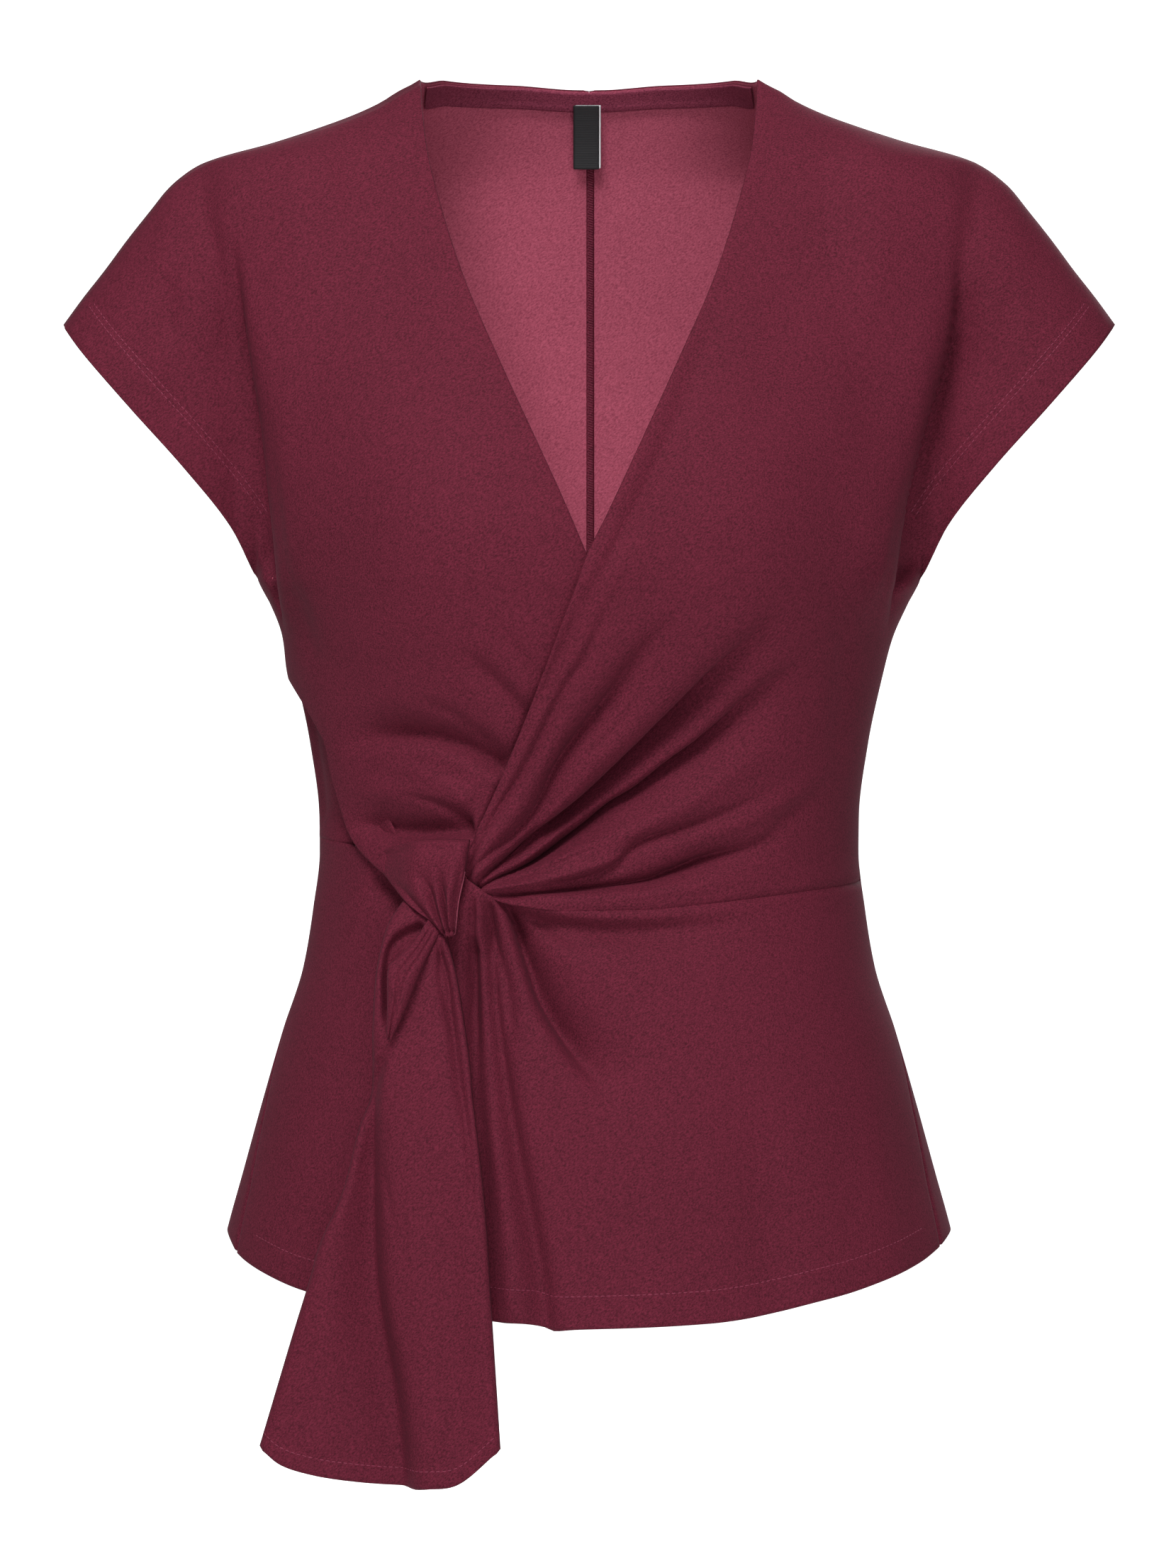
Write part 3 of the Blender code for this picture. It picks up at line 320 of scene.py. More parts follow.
@dataclass(frozen=True)
class GarmentForm:
    """The smooth filled-out form that every panel lies on."""

    neck_half: float = 86.0
    shoulder_point: float = 196.0
    mouth_half_depth: float = 42.0
    sleeve_arch: float = 75.0
    sleeve_start: tuple[float, float] = (90.0, 150.0)
    power: float = 2.3
    armhole_blend: float = 44.0
    # Distance from the middle, height, half width, half height and fullness
    bust: tuple[float, float, float, float, float] = (82.0, -236.0, 50.0, 62.0, 9.0)
    # Place across, height, how far it pushes the cloth forward, and its radius
    knot: tuple[float, float, float, float] = (-64.0, -408.0, 13.0, 30.0)

    def shoulder(self, x: Array) -> Array:
        """Gives the shoulder line's height."""
        return curve_through(column(SHOULDER, 0), column(SHOULDER, 1))(x)

    def ring(self, z: Array, index: int) -> Array:
        """Gives one size of the rings."""
        return curve_through(-column(RINGS, 0), column(RINGS, index))(-np.asarray(z, float))

    def waist(self, x: Array) -> Array:
        """Gives the front waist seam's height."""
        return curve_through(column(WAIST, 0), column(WAIST, 1))(x)

    def hem(self, x: Array) -> Array:
        """Gives the hem's height."""
        return curve_through(column(HEM, 0), column(HEM, 1))(x)

    def half_width(self, z: Array) -> Array:
        """Gives the half width, from the shoulder line down through the rings.

        Args:
            z: Heights.

        Returns:
            The half width.
        """
        xs = np.linspace(self.neck_half, self.shoulder_point, 300)
        on_shoulder = np.interp(-z, -self.shoulder(xs), xs)
        return np.where(z > self.shoulder(self.shoulder_point), on_shoulder, self.ring(z, 1))

    def sleeve_depth(self, x: Array, z: Array) -> Array:
        """Gives the depth of the cap sleeve, an oval tube closed at the shoulder and underarm.

        Args:
            x: Distance from the middle.
            z: Heights.

        Returns:
            The depth.
        """
        mouth = np.subtract(TIP, UNDERARM)
        half = np.linalg.norm(mouth) / 2
        centre = np.add(TIP, UNDERARM) / 2
        share = ((x - centre[0]) * mouth[0] + (z - centre[1]) * mouth[1]) / (2 * half**2)
        below = 0.75 * np.clip(self.shoulder(x) - z, 0, None)
        arch = np.sqrt(1 - (1 - np.clip(below / self.sleeve_arch, 0, 1)) ** 2)
        shut = np.sqrt(1 - np.clip(-share, 0, 1) ** 2)
        return self.mouth_half_depth * arch * shut * smooth_step(*self.sleeve_start, x)

    def depth(self, x: Array, z: Array, back: Array | bool) -> Array:
        """Gives how far the form stands out from the plane of the side seams.

        Args:
            x: Places across.
            z: Heights.
            back: True where it is the back.

        Returns:
            The depth.
        """
        x = np.abs(x)
        half = self.half_width(z)
        lifts = (*range(-32, 0, 8), *range(8, 40, 8))
        calm = sum(self.half_width(z + lift) for lift in lifts) / len(lifts)
        near = smooth_step(0.72, 0.96, x / half) + (1 - smooth_step(-70.0, -110.0, z)) * (z > -400)
        half = calm + (half - calm) * np.clip(near, 0, 1)
        share = np.clip(x / half, 0, 1)
        body = np.where(back, self.ring(z, 3), self.ring(z, 2)) * np.sqrt(1 - share**self.power)
        out, down, wide, tall, full = self.bust
        swell = np.exp(-(((x - out) / wide) ** 2) - ((z - down) / tall) ** 2)
        body = body + np.where(back, 0.0, full * swell * (1 - share**4))
        sleeve = self.sleeve_depth(x, z)
        reach = np.minimum(self.armhole_blend, 2 * np.minimum(body, sleeve)) + 1e-9
        near = np.clip(1 - np.abs(body - sleeve) / reach, 0, 1)
        return np.maximum(body, sleeve) + near**2 * reach / 4

    def armhole_calm(self, x: Array, z: Array) -> Array:
        """Gives how far the front comes forward to round off the corner between body and sleeve.

        Args:
            x: Places across.
            z: Heights.

        Returns:
            The distance.
        """
        mean = sum(self.depth(x + aside, z, False) for aside in (-9.0, -6.0, -3.0, 0.0, 3.0, 6.0, 9.0)) / 7
        x = np.abs(x)
        where = smooth_step(150.0, 158.0, x) * (1 - smooth_step(180.0, 192.0, x))
        return (mean - self.depth(x, z, False)) * where * (1 - smooth_step(-150.0, -125.0, z))

    def point(
        self, x: Array, z: Array, back: Array | bool = False, shift: Array | None = None
    ) -> tuple[Array, Array]:
        """Gives points on the form and the way out of it.

        Args:
            x: Places across.
            z: Heights.
            back: True where it is the back.
            shift: Moves them in Y; by default half the seams' gap.

        Returns:
            The points and the unit vectors out of the form.
        """
        step = 0.4
        sign = np.where(back, 1.0, -1.0) * np.ones_like(x)
        shift = sign * GAP / 2 if shift is None else shift
        inward = np.where(x > 0, -step, step)
        here = self.depth(x, z, back)
        slope_x = (self.depth(x + inward, z, back) - here) / inward
        slope_z = (here - self.depth(x, z - step, back)) / step
        out = np.stack([-slope_x, sign, -slope_z], axis=-1)
        out /= np.linalg.norm(out, axis=-1, keepdims=True)
        return np.stack([x, sign * here + shift, z], axis=-1), out

    def neck_lift(self, x: Array, z: Array) -> Array:
        """Gives how far the back neck's edge stands up, more beside the middle than in it.

        Args:
            x: Places across.
            z: Heights.

        Returns:
            The rise.
        """
        x = np.abs(x)
        across = (1.4 + 1.9 * smooth_step(5.0, 40.0, x)) * (1 - smooth_step(74.0, 86.0, x))
        return across * smooth_step(-24.0, -2.0, z)

    def waist_dip(self, x: Array, z: Array) -> Array:
        """Gives how far the cloth sinks into the front waist seam, away from the knot."""
        return 1.4 * np.exp(-(((z - self.waist(x)) / 1.8) ** 2)) * smooth_step(-40.0, 10.0, x)

    def knot_rise(self, x: Array, z: Array) -> Array:
        """Gives how far the knot pushes the cloth forward."""
        at_x, at_z, rise, reach = self.knot
        return rise * np.exp(-(((x - at_x) ** 2 + (z - at_z) ** 2) / reach**2))

    def seam_forward(self, z: Array) -> Array:
        """Gives how far forward of the side plane the peplum's side seam runs."""
        return np.interp(-np.asarray(z, float), -column(SIDE_SEAM, 0), column(SIDE_SEAM, 1))

    def seam_reach(self, z: Array, shift: float = 0.0) -> Array:
        """Gives the half width in front view of the peplum's side seams."""
        share = np.maximum(self.seam_forward(z) - shift, 0.0) / self.ring(z, 2)
        return self.ring(z, 1) * (1 - share**2) ** (1 / self.power)

    def seam_line(self, side: int, shift: float, count: int = 60) -> Points:
        """Follows a peplum side seam in front view, from the waist to the hem.

        Args:
            side: 1 for the wearer's left, -1 for the right.
            shift: How far to the back of it.
            count: How many points.

        Returns:
            The points.
        """
        bottom = HEM[0][1]
        for _ in range(20):
            bottom = 0.5 * bottom + 0.5 * float(self.hem(side * self.seam_reach(bottom)))
        zs = np.linspace((WAIST_LEFT if side > 0 else WAIST_RIGHT) - GAP / 2, bottom, count)
        return tuple((side * float(self.seam_reach(z, shift)), float(z)) for z in zs)

    def side_line(self, top: float, bottom: float, side: int, count: int = 13) -> Points:
        """Follows the bodice's side seam in front view."""
        return tuple((side * float(self.ring(z, 1)), float(z)) for z in np.linspace(top, bottom, count))

    def shoulder_line(self, side: int, count: int = 40) -> Points:
        """Follows the shoulder in front view, from the neck to the sleeve's tip."""
        xs = np.linspace(self.neck_half, TIP[0], count)
        return tuple((side * float(x), float(self.shoulder(x))) for x in xs)

    def waist_line(self, start: float, end: float, lift: float, count: int = 41) -> list[tuple[float, float]]:
        """Follows the front waist seam."""
        return [(float(x), float(self.waist(x)) + lift) for x in np.linspace(start, end, count)]


@dataclass(frozen=True)
class Fold:
    """One fold in front view.

    Attributes:
        line: The line it follows.
        depth: How far it stands out of the cloth; a trough is negative.
        left: The half width to its left, at the start and at the end.
        right: The half width to its right, at the start and at the end.
        fade_in: The share of the line over which it grows to its full depth.
        fade_out: The share of the line over which it dies away.
        sharp: 2 gives a round profile, less a sharper one.
        begin: The share of its depth that it already has at its start.
        lean: How far its steep side leans over it.
    """

    line: Points
    depth: float
    left: tuple[float, float]
    right: tuple[float, float]
    fade_in: float = 0.3
    fade_out: float = 0.4
    sharp: float = 2.0
    begin: float = 0.0
    lean: float = 0.0

    def across(self, x: Array, z: Array) -> tuple[Array, Array, Array, Array, Array]:
        """Measures places against the fold.

        Args:
            x: Places across.
            z: Heights.

        Returns:
            The distance to its left, its half widths there, its strength, how far past an end, and its way.
        """
        t = np.linspace(0, 1, 90)
        line = path(self.line)(t)
        ahead = np.gradient(line, axis=0)
        ahead /= np.linalg.norm(ahead, axis=1, keepdims=True)
        away = np.stack([x, z], axis=-1)[..., None, :] - line
        near = np.argmin((away**2).sum(-1), axis=-1)
        offset = np.take_along_axis(away, near[..., None, None], axis=-2)[..., 0, :]
        way = ahead[near]
        aside = way[..., 0] * offset[..., 1] - way[..., 1] * offset[..., 0]
        share = t[near]
        widths = np.stack([side[0] + share * (side[1] - side[0]) for side in (self.left, self.right)])
        strength = self.begin + (1 - self.begin) * smooth_step(-1e-6, self.fade_in + 1e-6, share)
        strength = strength * (1 - smooth_step(1 - self.fade_out, 1 + 1e-6, share))
        past = np.abs((way * offset).sum(-1)) / widths.sum(0)
        return aside, widths, strength, past, way

    def height(self, x: Array, z: Array) -> Array:
        """Gives the fold's height; it is inward where negative.

        Args:
            x: Places across.
            z: Heights.

        Returns:
            The fold's height there.
        """
        aside, widths, strength, past, _ = self.across(x, z)
        width = np.where(aside > 0, widths[0], widths[1])
        return self.depth * strength * np.exp(-((np.abs(aside) / width) ** self.sharp) - past**2)

    def shift(self, x: Array, z: Array) -> Array:
        """Gives how far the steep side leans over the fold, in front view.

        Args:
            x: Places across.
            z: Heights.

        Returns:
            The shift there.
        """
        aside, widths, strength, past, way = self.across(x, z)
        steep_left = sum(self.left) < sum(self.right)
        width = np.minimum(widths[0], widths[1])
        gone = (-aside if steep_left else aside) / width
        away = (gone + 0.9) / np.where(gone > -0.9, 0.9, 2.4)
        push = self.lean * strength * np.exp(-(away**2) - past**2)
        normal = np.stack([way[..., 1], -way[..., 0]], axis=-1) * (1 if steep_left else -1)
        return normal * push[..., None]


def folded(x: Array, z: Array, folds: tuple[Fold, ...], side: float = 1.0) -> Array:
    """Adds up folds.

    Args:
        x: Places across.
        z: Heights.
        folds: The folds.
        side: -1 mirrors them.

    Returns:
        Their height at each place.
    """
    total = np.zeros_like(x)
    for fold in folds:
        total += fold.height(x * side, z)
    return total


def edge_distance(x: Array, z: Array, points: Points) -> Array:
    """Measures the distance in front view to a line.

    Args:
        x: Places across.
        z: Heights.
        points: The line's points.

    Returns:
        The distance.
    """
    line = path(points)(np.linspace(0, 1, 160))
    found = np.full(x.shape, 1e9)
    for a, b in line:
        found = np.minimum(found, (x - a) ** 2 + (z - b) ** 2)
    return np.sqrt(found)


def sleeve_hem(side: int) -> Points:
    """Gives the sleeve's edge; side is 1 for the wearer's left, -1 for the right."""
    return SLEEVE_HEM if side > 0 else mirrored(SLEEVE_HEM)


def hem_relief(distance: Array, depth: float, rows: tuple[float, ...]) -> Array:
    """Gives a turned hem's relief: a second layer up to the stitches and a dip at each row.

    Args:
        distance: Distance from the hem's edge.
        depth: How wide the hem is.
        rows: Where the rows of stitches lie, from the edge.

    Returns:
        The relief.
    """
    layer = 0.45 * (1 - smooth_step(depth - 0.8, depth + 1.2, distance))
    dips = sum(-0.32 * np.exp(-((distance - row) ** 2)) for row in rows)
    return layer + dips


def sleeve_relief(x: Array, z: Array, side: int) -> Array:
    """Gives the relief of a sleeve's turned hem; side is 1 for the wearer's left, -1 for the right."""
    edge = edge_distance(x, z, sleeve_hem(side))
    return hem_relief(edge, *SLEEVE_TURN) * smooth_step(170.0, 186.0, side * x)


LEFT_FRONT_FOLDS = (
    Fold(((-56, -388), (-28, -322), (8, -246)), -1.6, (2.5, 4.0), (2.5, 4.0), 0.10, 0.35),
    Fold(((-29, -329), (-19, -310), (-8, -287), (7, -257)), -1.8, (4.0, 6.0), (4.0, 6.0), 0.3, 0.5),
    Fold(((-4, -276), (18, -232), (38, -190), (54, -150), (66, -112)),
         -2.6, (3.4, 4.0), (4.0, 6.0), 0.2, 0.6),
    Fold(((8, -232), (28, -188), (44, -150), (58, -104), (70, -66)), 0.9, (2.6, 2.6), (2.6, 2.6), 0.1, 0.3),
    Fold(((214, -92), (212, -116), (206, -146), (198, -172)), -2.4, (5.0, 7.0), (5.0, 7.0), 0.4, 0.4),
    Fold(((194, -150), (186, -172), (178, -196)), 1.6, (5.0, 6.0), (5.0, 6.0), 0.4, 0.4),
    Fold(((-60, -399), (-54, -387), (-45, -371), (-30, -346), (-11.8, -310), (-1.7, -295), (8.3, -274),
          (23.5, -245)),
         -3.6, (1.6, 3.2), (2.2, 5.0), 0.2, 0.45, 1.6, 0.4),
    Fold(((-60, -402), (-50, -392), (-29, -371), (-19, -351.6), (-8, -335.3), (8.3, -316), (23.5, -296),
          (50, -268)),
         -6.8, (1.4, 4.0), (2.2, 11.0), 0.25, 0.45, 1.6, 0.45, 1.2),
    Fold(((-14, -362), (-1.7, -345.3), (16.6, -326.3), (36, -298)),
         -1.5, (1.6, 2.2), (1.6, 2.6), 0.4, 0.4, 1.5),
    Fold(((-59, -408), (-46, -395.5), (-30, -382), (-6, -366), (12.5, -350.5), (28.7, -336), (46.7, -320),
          (61.6, -306), (75.5, -293), (97, -271)),
         -14.5, (1.3, 3.6), (2.6, 15.0), 0.2, 0.42, 1.5, 0.5, 2.6),
    Fold(((-58, -410), (-46, -402.5), (-27, -392.5), (-7, -380), (8.3, -369), (23.5, -361), (41, -348.5),
          (56, -339), (70, -328.7), (83.4, -316), (112, -293)),
         -13.0, (1.2, 3.2), (2.4, 13.0), 0.2, 0.42, 1.4, 0.5, 2.4),
    Fold(((-50, -403), (-22, -380), (12, -350), (46, -320), (75, -293), (104, -264)),
         -7.5, (3.0, 8.0), (6.0, 24.0), 0.1, 0.4),
    Fold(((-48, -405), (-7, -380), (23, -361), (56, -339), (83, -316), (118, -288)),
         -6.5, (3.0, 6.0), (6.0, 20.0), 0.1, 0.4),
    Fold(((-48, -411), (-12, -409), (24, -404), (58, -394), (92, -382)),
         -5.0, (3.0, 7.0), (4.0, 10.0), 0.1, 0.35),
    Fold(((-52, -396), (-29, -371), (-8, -335), (23, -296), (46, -262)),
         -3.5, (4.0, 7.0), (6.0, 14.0), 0.1, 0.5),
    Fold(((-40, -404), (-8, -392), (24, -378), (60, -360), (98, -334)),
         2.6, (2.0, 5.0), (2.0, 6.0), 0.2, 0.4),
    Fold(((-44, -409), (-20, -413), (20, -413), (62, -409), (104, -404)),
         6.0, (4.0, 6.0), (2.6, 3.6), 0.15, 0.4),
    Fold(((-30, -407), (-1.7, -402), (13.5, -396), (24, -386), (41, -380), (64, -373), (93, -362)),
         -5.5, (1.8, 3.6), (4.0, 10.0), 0.2, 0.4, 1.6, 0.0, 1.4),
    Fold(((10, -397), (24, -393), (53, -383), (79, -375), (104, -360), (129, -340)),
         2.2, (3.0, 6.0), (3.0, 6.0), 0.3, 0.5),
    Fold(((-55, -411.5), (-34, -411), (-12, -409), (24, -404.5), (41, -399), (58, -393), (86, -386),
          (110, -368)),
         -10.5, (1.3, 3.0), (2.2, 9.0), 0.2, 0.45, 1.5, 0.5, 1.6),
    Fold(((-57, -386), (-60, -398), (-60, -405), (-57, -410)),
         -6.0, (2.6, 2.6), (2.6, 2.6), 0.05, 0.05, 2.0, 0.8),
    Fold(((86, -384), (97, -375), (110, -367), (122, -360)), -1.4, (3.0, 5.0), (3.0, 5.0), 0.4, 0.5),
    Fold(((0, -416), (24, -414), (64, -408), (93, -405)), 1.5, (3.0, 3.5), (3.0, 3.5), 0.3, 0.5),
    Fold(((-52, -401), (-36, -386), (-18, -366), (4, -346)),
         -2.4, (1.0, 2.4), (1.2, 2.6), 0.1, 0.6, 1.5, 0.5),
    Fold(((-50, -403), (-30, -391.5), (-6, -373), (18, -356)),
         2.2, (1.0, 2.6), (1.0, 2.6), 0.1, 0.6, 2.0, 0.5),
    Fold(((-48, -407), (-22, -399), (4, -388), (34, -372)),
         -2.4, (1.0, 2.8), (1.2, 3.0), 0.1, 0.55, 1.5, 0.5),
    Fold(((-46, -408.5), (-20, -404), (6, -396), (30, -389)),
         2.0, (1.0, 2.8), (1.0, 2.8), 0.1, 0.55, 2.0, 0.5),
    Fold(((-46, -413), (-14, -414), (22, -410), (60, -400)),
         -2.6, (1.2, 2.6), (1.2, 2.6), 0.1, 0.5, 1.5, 0.4),
    Fold(((176, -96), (168, -141), (157, -182), (146, -222), (141, -255), (140, -284)),
         6.0, (6.5, 6.5), (17.0, 18.0), 0.35, 0.25),
    Fold(((200, -103), (192, -114), (183, -126)), -2.2, (4.0, 4.0), (4.0, 4.0), 0.4, 0.4),
    Fold(((106, -60), (98, -120), (88, -170), (80, -215)), -1.3, (14.0, 16.0), (14.0, 16.0), 0.4, 0.5),
    Fold(((140, -66), (136, -120), (128, -180), (120, -240)), 1.2, (12.0, 14.0), (12.0, 14.0), 0.4, 0.5),
    Fold(((120, -262), (128, -300), (126, -340), (132, -372)), -1.8, (7.0, 6.0), (7.0, 6.0), 0.4, 0.4),
)
LEFT_ARMHOLE = (
    Fold(((188, -84), (185.6, -97), (183, -123), (176, -151), (166, -182), (157.6, -216), (152.5, -250),
          (149.5, -290)),
         -18.0, (11.0, 29.0), (1.4, 1.8), 0.3, 0.1, 1.3, 0.0, 2.6),
    Fold(((173, -180), (172, -205), (172, -220), (172, -236), (172, -256)),
         3.0, (6.0, 6.0), (6.0, 6.0), 0.7, 0.0),
)
RIGHT_ARMHOLE = (
    Fold(((-179, -78), (-175.5, -100), (-170, -133), (-163, -174), (-159, -214), (-156, -244), (-153, -288)),
         -16.0, (1.4, 1.8), (10.0, 26.0), 0.3, 0.1, 1.3, 0.0, 2.6),
    Fold(((-173, -180), (-172, -205), (-172, -220), (-172, -236), (-172, -256)),
         3.0, (6.0, 6.0), (6.0, 6.0), 0.7, 0.0),
)
RIGHT_FRONT_FOLDS = (
    Fold(((-66, -288), (-54, -301), (-45, -310), (-31, -325), (-24, -334)),
         -3.6, (4.0, 5.0), (5.0, 6.0), 0.40, 0.2),
    Fold(((-124, -343), (-105, -335), (-86, -335), (-72, -338), (-59, -343), (-38, -354)),
         -10.5, (9.0, 9.0), (3.4, 3.0), 0.35, 0.1, 1.6),
    Fold(((-118, -376), (-104, -380), (-84, -382.5), (-56, -381)),
         -8.5, (8.0, 7.0), (3.4, 3.0), 0.25, 0.05, 1.6),
    Fold(((-120, -362), (-98, -361), (-78, -363), (-54, -366)), 2.4, (7.0, 7.0), (6.0, 6.0), 0.35, 0.1),
    Fold(((-108, -352), (-92, -350), (-74, -356), (-56, -368)), 1.6, (4.0, 4.0), (4.0, 4.0), 0.4, 0.3),
    Fold(((-100, -362), (-86, -364), (-70, -370), (-54, -384)),
         -1.8, (2.4, 2.4), (2.4, 2.4), 0.4, 0.25, 1.6),
    Fold(((-92, -318), (-76, -320), (-60, -330), (-44, -344)), -1.6, (4.0, 3.0), (4.0, 3.0), 0.45, 0.2),
    Fold(((-50, -272), (-42, -284), (-32, -298), (-24, -312)), -1.4, (3.0, 3.0), (3.0, 3.0), 0.4, 0.3),
    Fold(((-166, -96), (-160, -141), (-152, -182), (-146, -222), (-144, -255), (-143, -284)),
         5.0, (16.0, 17.0), (6.5, 6.5), 0.35, 0.3),
    Fold(((-213, -96), (-211, -121), (-213, -145)), -2.8, (6.0, 6.0), (6.0, 6.0), 0.4, 0.4),
    Fold(((-150, -240), (-146, -262), (-138, -288), (-128, -308)), -1.8, (5.0, 5.0), (5.0, 5.0), 0.4, 0.4),
    Fold(((-106, -60), (-98, -120), (-88, -170), (-78, -215)), -1.2, (14.0, 16.0), (14.0, 16.0), 0.4, 0.5),
    Fold(((-140, -66), (-136, -120), (-128, -180), (-118, -240)),
         1.2, (12.0, 14.0), (12.0, 14.0), 0.4, 0.5),
)
UNDER_LAYER_FOLDS = (
    Fold(FOLD_EDGE, -3.6, (8.0, 8.0), (8.0, 8.0), 0.1, 0.1),
    Fold(((-140, -330), (-132, -348), (-124, -366), (-116, -384)), -0.8, (3.0, 3.0), (3.0, 3.0), 0.3, 0.3),
    Fold(((-134, -384), (-130, -366), (-132, -348), (-138, -330)), -0.9, (3.0, 3.0), (3.0, 3.0), 0.3, 0.4),
)
BACK_FOLDS = (
    Fold(((176, -112), (163, -195), (149, -290)), -4.0, (7.0, 6.0), (7.0, 6.0), 0.35, 0.35),
    Fold(((30, -330), (80, -345), (128, -338)), -3.5, (6.0, 7.0), (7.0, 8.0), 0.4, 0.3),
    Fold(((24, -368), (70, -377), (124, -366)), -4.0, (5.0, 7.0), (6.0, 7.0), 0.4, 0.3),
    Fold(((206, -92), (206, -116), (200, -142)), -2.2, (6.0, 6.0), (6.0, 6.0), 0.4, 0.4),
    Fold(((40, -292), (84, -306), (132, -300)), -1.8, (5.0, 7.0), (5.0, 7.0), 0.5, 0.4),
    Fold(((14, -348), (46, -357), (92, -356)), -1.6, (3.0, 4.0), (3.0, 4.0), 0.4, 0.5, 1.7),
    Fold(((60, -392), (92, -388), (120, -380)), -1.4, (3.0, 4.0), (3.0, 4.0), 0.4, 0.4),
    Fold(((112, -80), (108, -140), (96, -210)), -1.4, (14.0, 16.0), (14.0, 16.0), 0.4, 0.5),
    Fold(((146, -70), (140, -130), (132, -200)), 1.3, (12.0, 14.0), (12.0, 14.0), 0.4, 0.5),
    Fold(((60, -120), (52, -190), (56, -262)), 1.0, (16.0, 16.0), (16.0, 16.0), 0.4, 0.5),
)
PEPLUM_FOLDS = (
    Fold(((-50, -420), (-46, -470), (-38, -524), (-29, -568), (-23, -602), (-20, -640)),
         -8.0, (3.0, 5.0), (2.4, 9.0), 0.05, 0.0, 1.6, 0.4),
    Fold(((-57, -430), (-57, -490), (-52, -560), (-47, -640)), -7.0, (4.0, 7.0), (4.0, 9.0), 0.05, 0.0),
    Fold(((-40, -420), (-28, -446), (-10, -478), (12, -506), (40, -532)),
         -6.0, (10.0, 26.0), (4.0, 14.0), 0.1, 0.5, 2.0, 0.3),
    Fold(((-43, -416), (-38, -430), (-33, -445), (-28, -459), (-18, -476), (-4, -494), (14, -512)),
         -13.0, (4.0, 15.0), (1.3, 4.0), 0.05, 0.45, 1.5, 0.6, 1.8),
    Fold(((-50, -418), (-48, -431), (-44, -444), (-41, -457), (-39, -475), (-37, -500)),
         -5.0, (1.4, 4.5), (1.0, 2.6), 0.06, 0.5, 1.5, 0.6),
    Fold(((-57, -416), (-58, -432), (-58.5, -449), (-58, -475), (-57, -500)),
         -5.0, (1.3, 3.0), (1.6, 3.0), 0.06, 0.4, 1.5, 0.6),
    Fold(((-55, -416), (-54, -432), (-53, -449), (-50, -480)),
         2.0, (1.6, 3.0), (1.6, 3.0), 0.05, 0.5, 2.0, 0.6),
    Fold(((-108, -400), (-98, -410), (-88, -421), (-76, -431)), -5.0, (3.0, 3.0), (9.0, 9.0), 0.2, 0.1),
    Fold(((-40, -421), (-14, -426), (10, -428), (45, -428), (90, -425)),
         -6.0, (3.0, 4.0), (9.0, 12.0), 0.15, 0.5, 2.0, 0.3),
    Fold(((-46, -417), (-41, -430), (-34, -446), (-31, -462), (-27, -482)),
         3.0, (1.4, 4.0), (1.4, 4.0), 0.1, 0.6, 2.0, 0.5),
    Fold(((-40, -417), (-26, -424), (-8, -434), (14, -446)), -2.2, (1.4, 4.0), (1.6, 5.0), 0.1, 0.6, 1.7),
    Fold(((-34, -421), (-10, -426), (18, -430), (46, -431)), -1.8, (1.6, 4.0), (2.0, 6.0), 0.15, 0.6),
    Fold(((-52, -500), (-44, -540), (-38, -580), (-36, -622)), 2.0, (4.0, 6.0), (4.0, 6.0), 0.4, 0.1),
    Fold(((70, -470), (84, -540), (92, -640)), -4.0, (14.0, 20.0), (14.0, 20.0), 0.6, 0.0),
    Fold(((-112, -470), (-124, -540), (-134, -640)), -4.0, (14.0, 18.0), (14.0, 18.0), 0.6, 0.0),
    Fold(((20, -500), (26, -560), (28, -640)), 1.6, (16.0, 20.0), (16.0, 20.0), 0.6, 0.0),
    Fold(((132, -470), (142, -530), (152, -620)), 1.4, (10.0, 12.0), (10.0, 12.0), 0.5, 0.0),
    Fold(((-128, -402), (-132, -430), (-136, -458)), -1.2, (5.0, 6.0), (5.0, 6.0), 0.3, 0.5),
)
BACK_PEPLUM_FOLDS = (
    Fold(((6, -450), (4, -540), (-4, -640)), -5.0, (15.0, 22.0), (15.0, 22.0), 0.6, 0.0),
    Fold(((84, -455), (96, -540), (104, -640)), -5.0, (14.0, 20.0), (14.0, 20.0), 0.6, 0.0),
    Fold(((-78, -450), (-90, -540), (-100, -640)), -5.0, (14.0, 20.0), (14.0, 20.0), 0.6, 0.0),
    Fold(((40, -420), (46, -480), (50, -640)), 1.8, (8.0, 16.0), (8.0, 16.0), 0.4, 0.0),
    Fold(((-36, -424), (-42, -490), (-46, -640)), 2.0, (8.0, 16.0), (8.0, 16.0), 0.4, 0.0),
    Fold(((112, -415), (122, -452), (130, -500)), -1.4, (6.0, 8.0), (6.0, 8.0), 0.3, 0.6),
    Fold(((-108, -412), (-118, -450), (-128, -505)), -1.5, (6.0, 8.0), (6.0, 8.0), 0.3, 0.6),
    Fold(((20, -410), (16, -436), (20, -462)), -1.0, (5.0, 6.0), (5.0, 6.0), 0.3, 0.6),
)


@dataclass(frozen=True)
class Colour:
    """An sRGB colour as hex digits."""

    digits: str

    def linear(self) -> tuple[float, float, float, float]:
        """Turns it into linear light.

        Returns:
            Red, green, blue and alpha.
        """
        parts = [int(self.digits[k : k + 2], 16) / 255 for k in (0, 2, 4)]
        linear = [p / 12.92 if p <= 0.04045 else ((p + 0.055) / 1.055) ** 2.4 for p in parts]
        return (linear[0], linear[1], linear[2], 1.0)


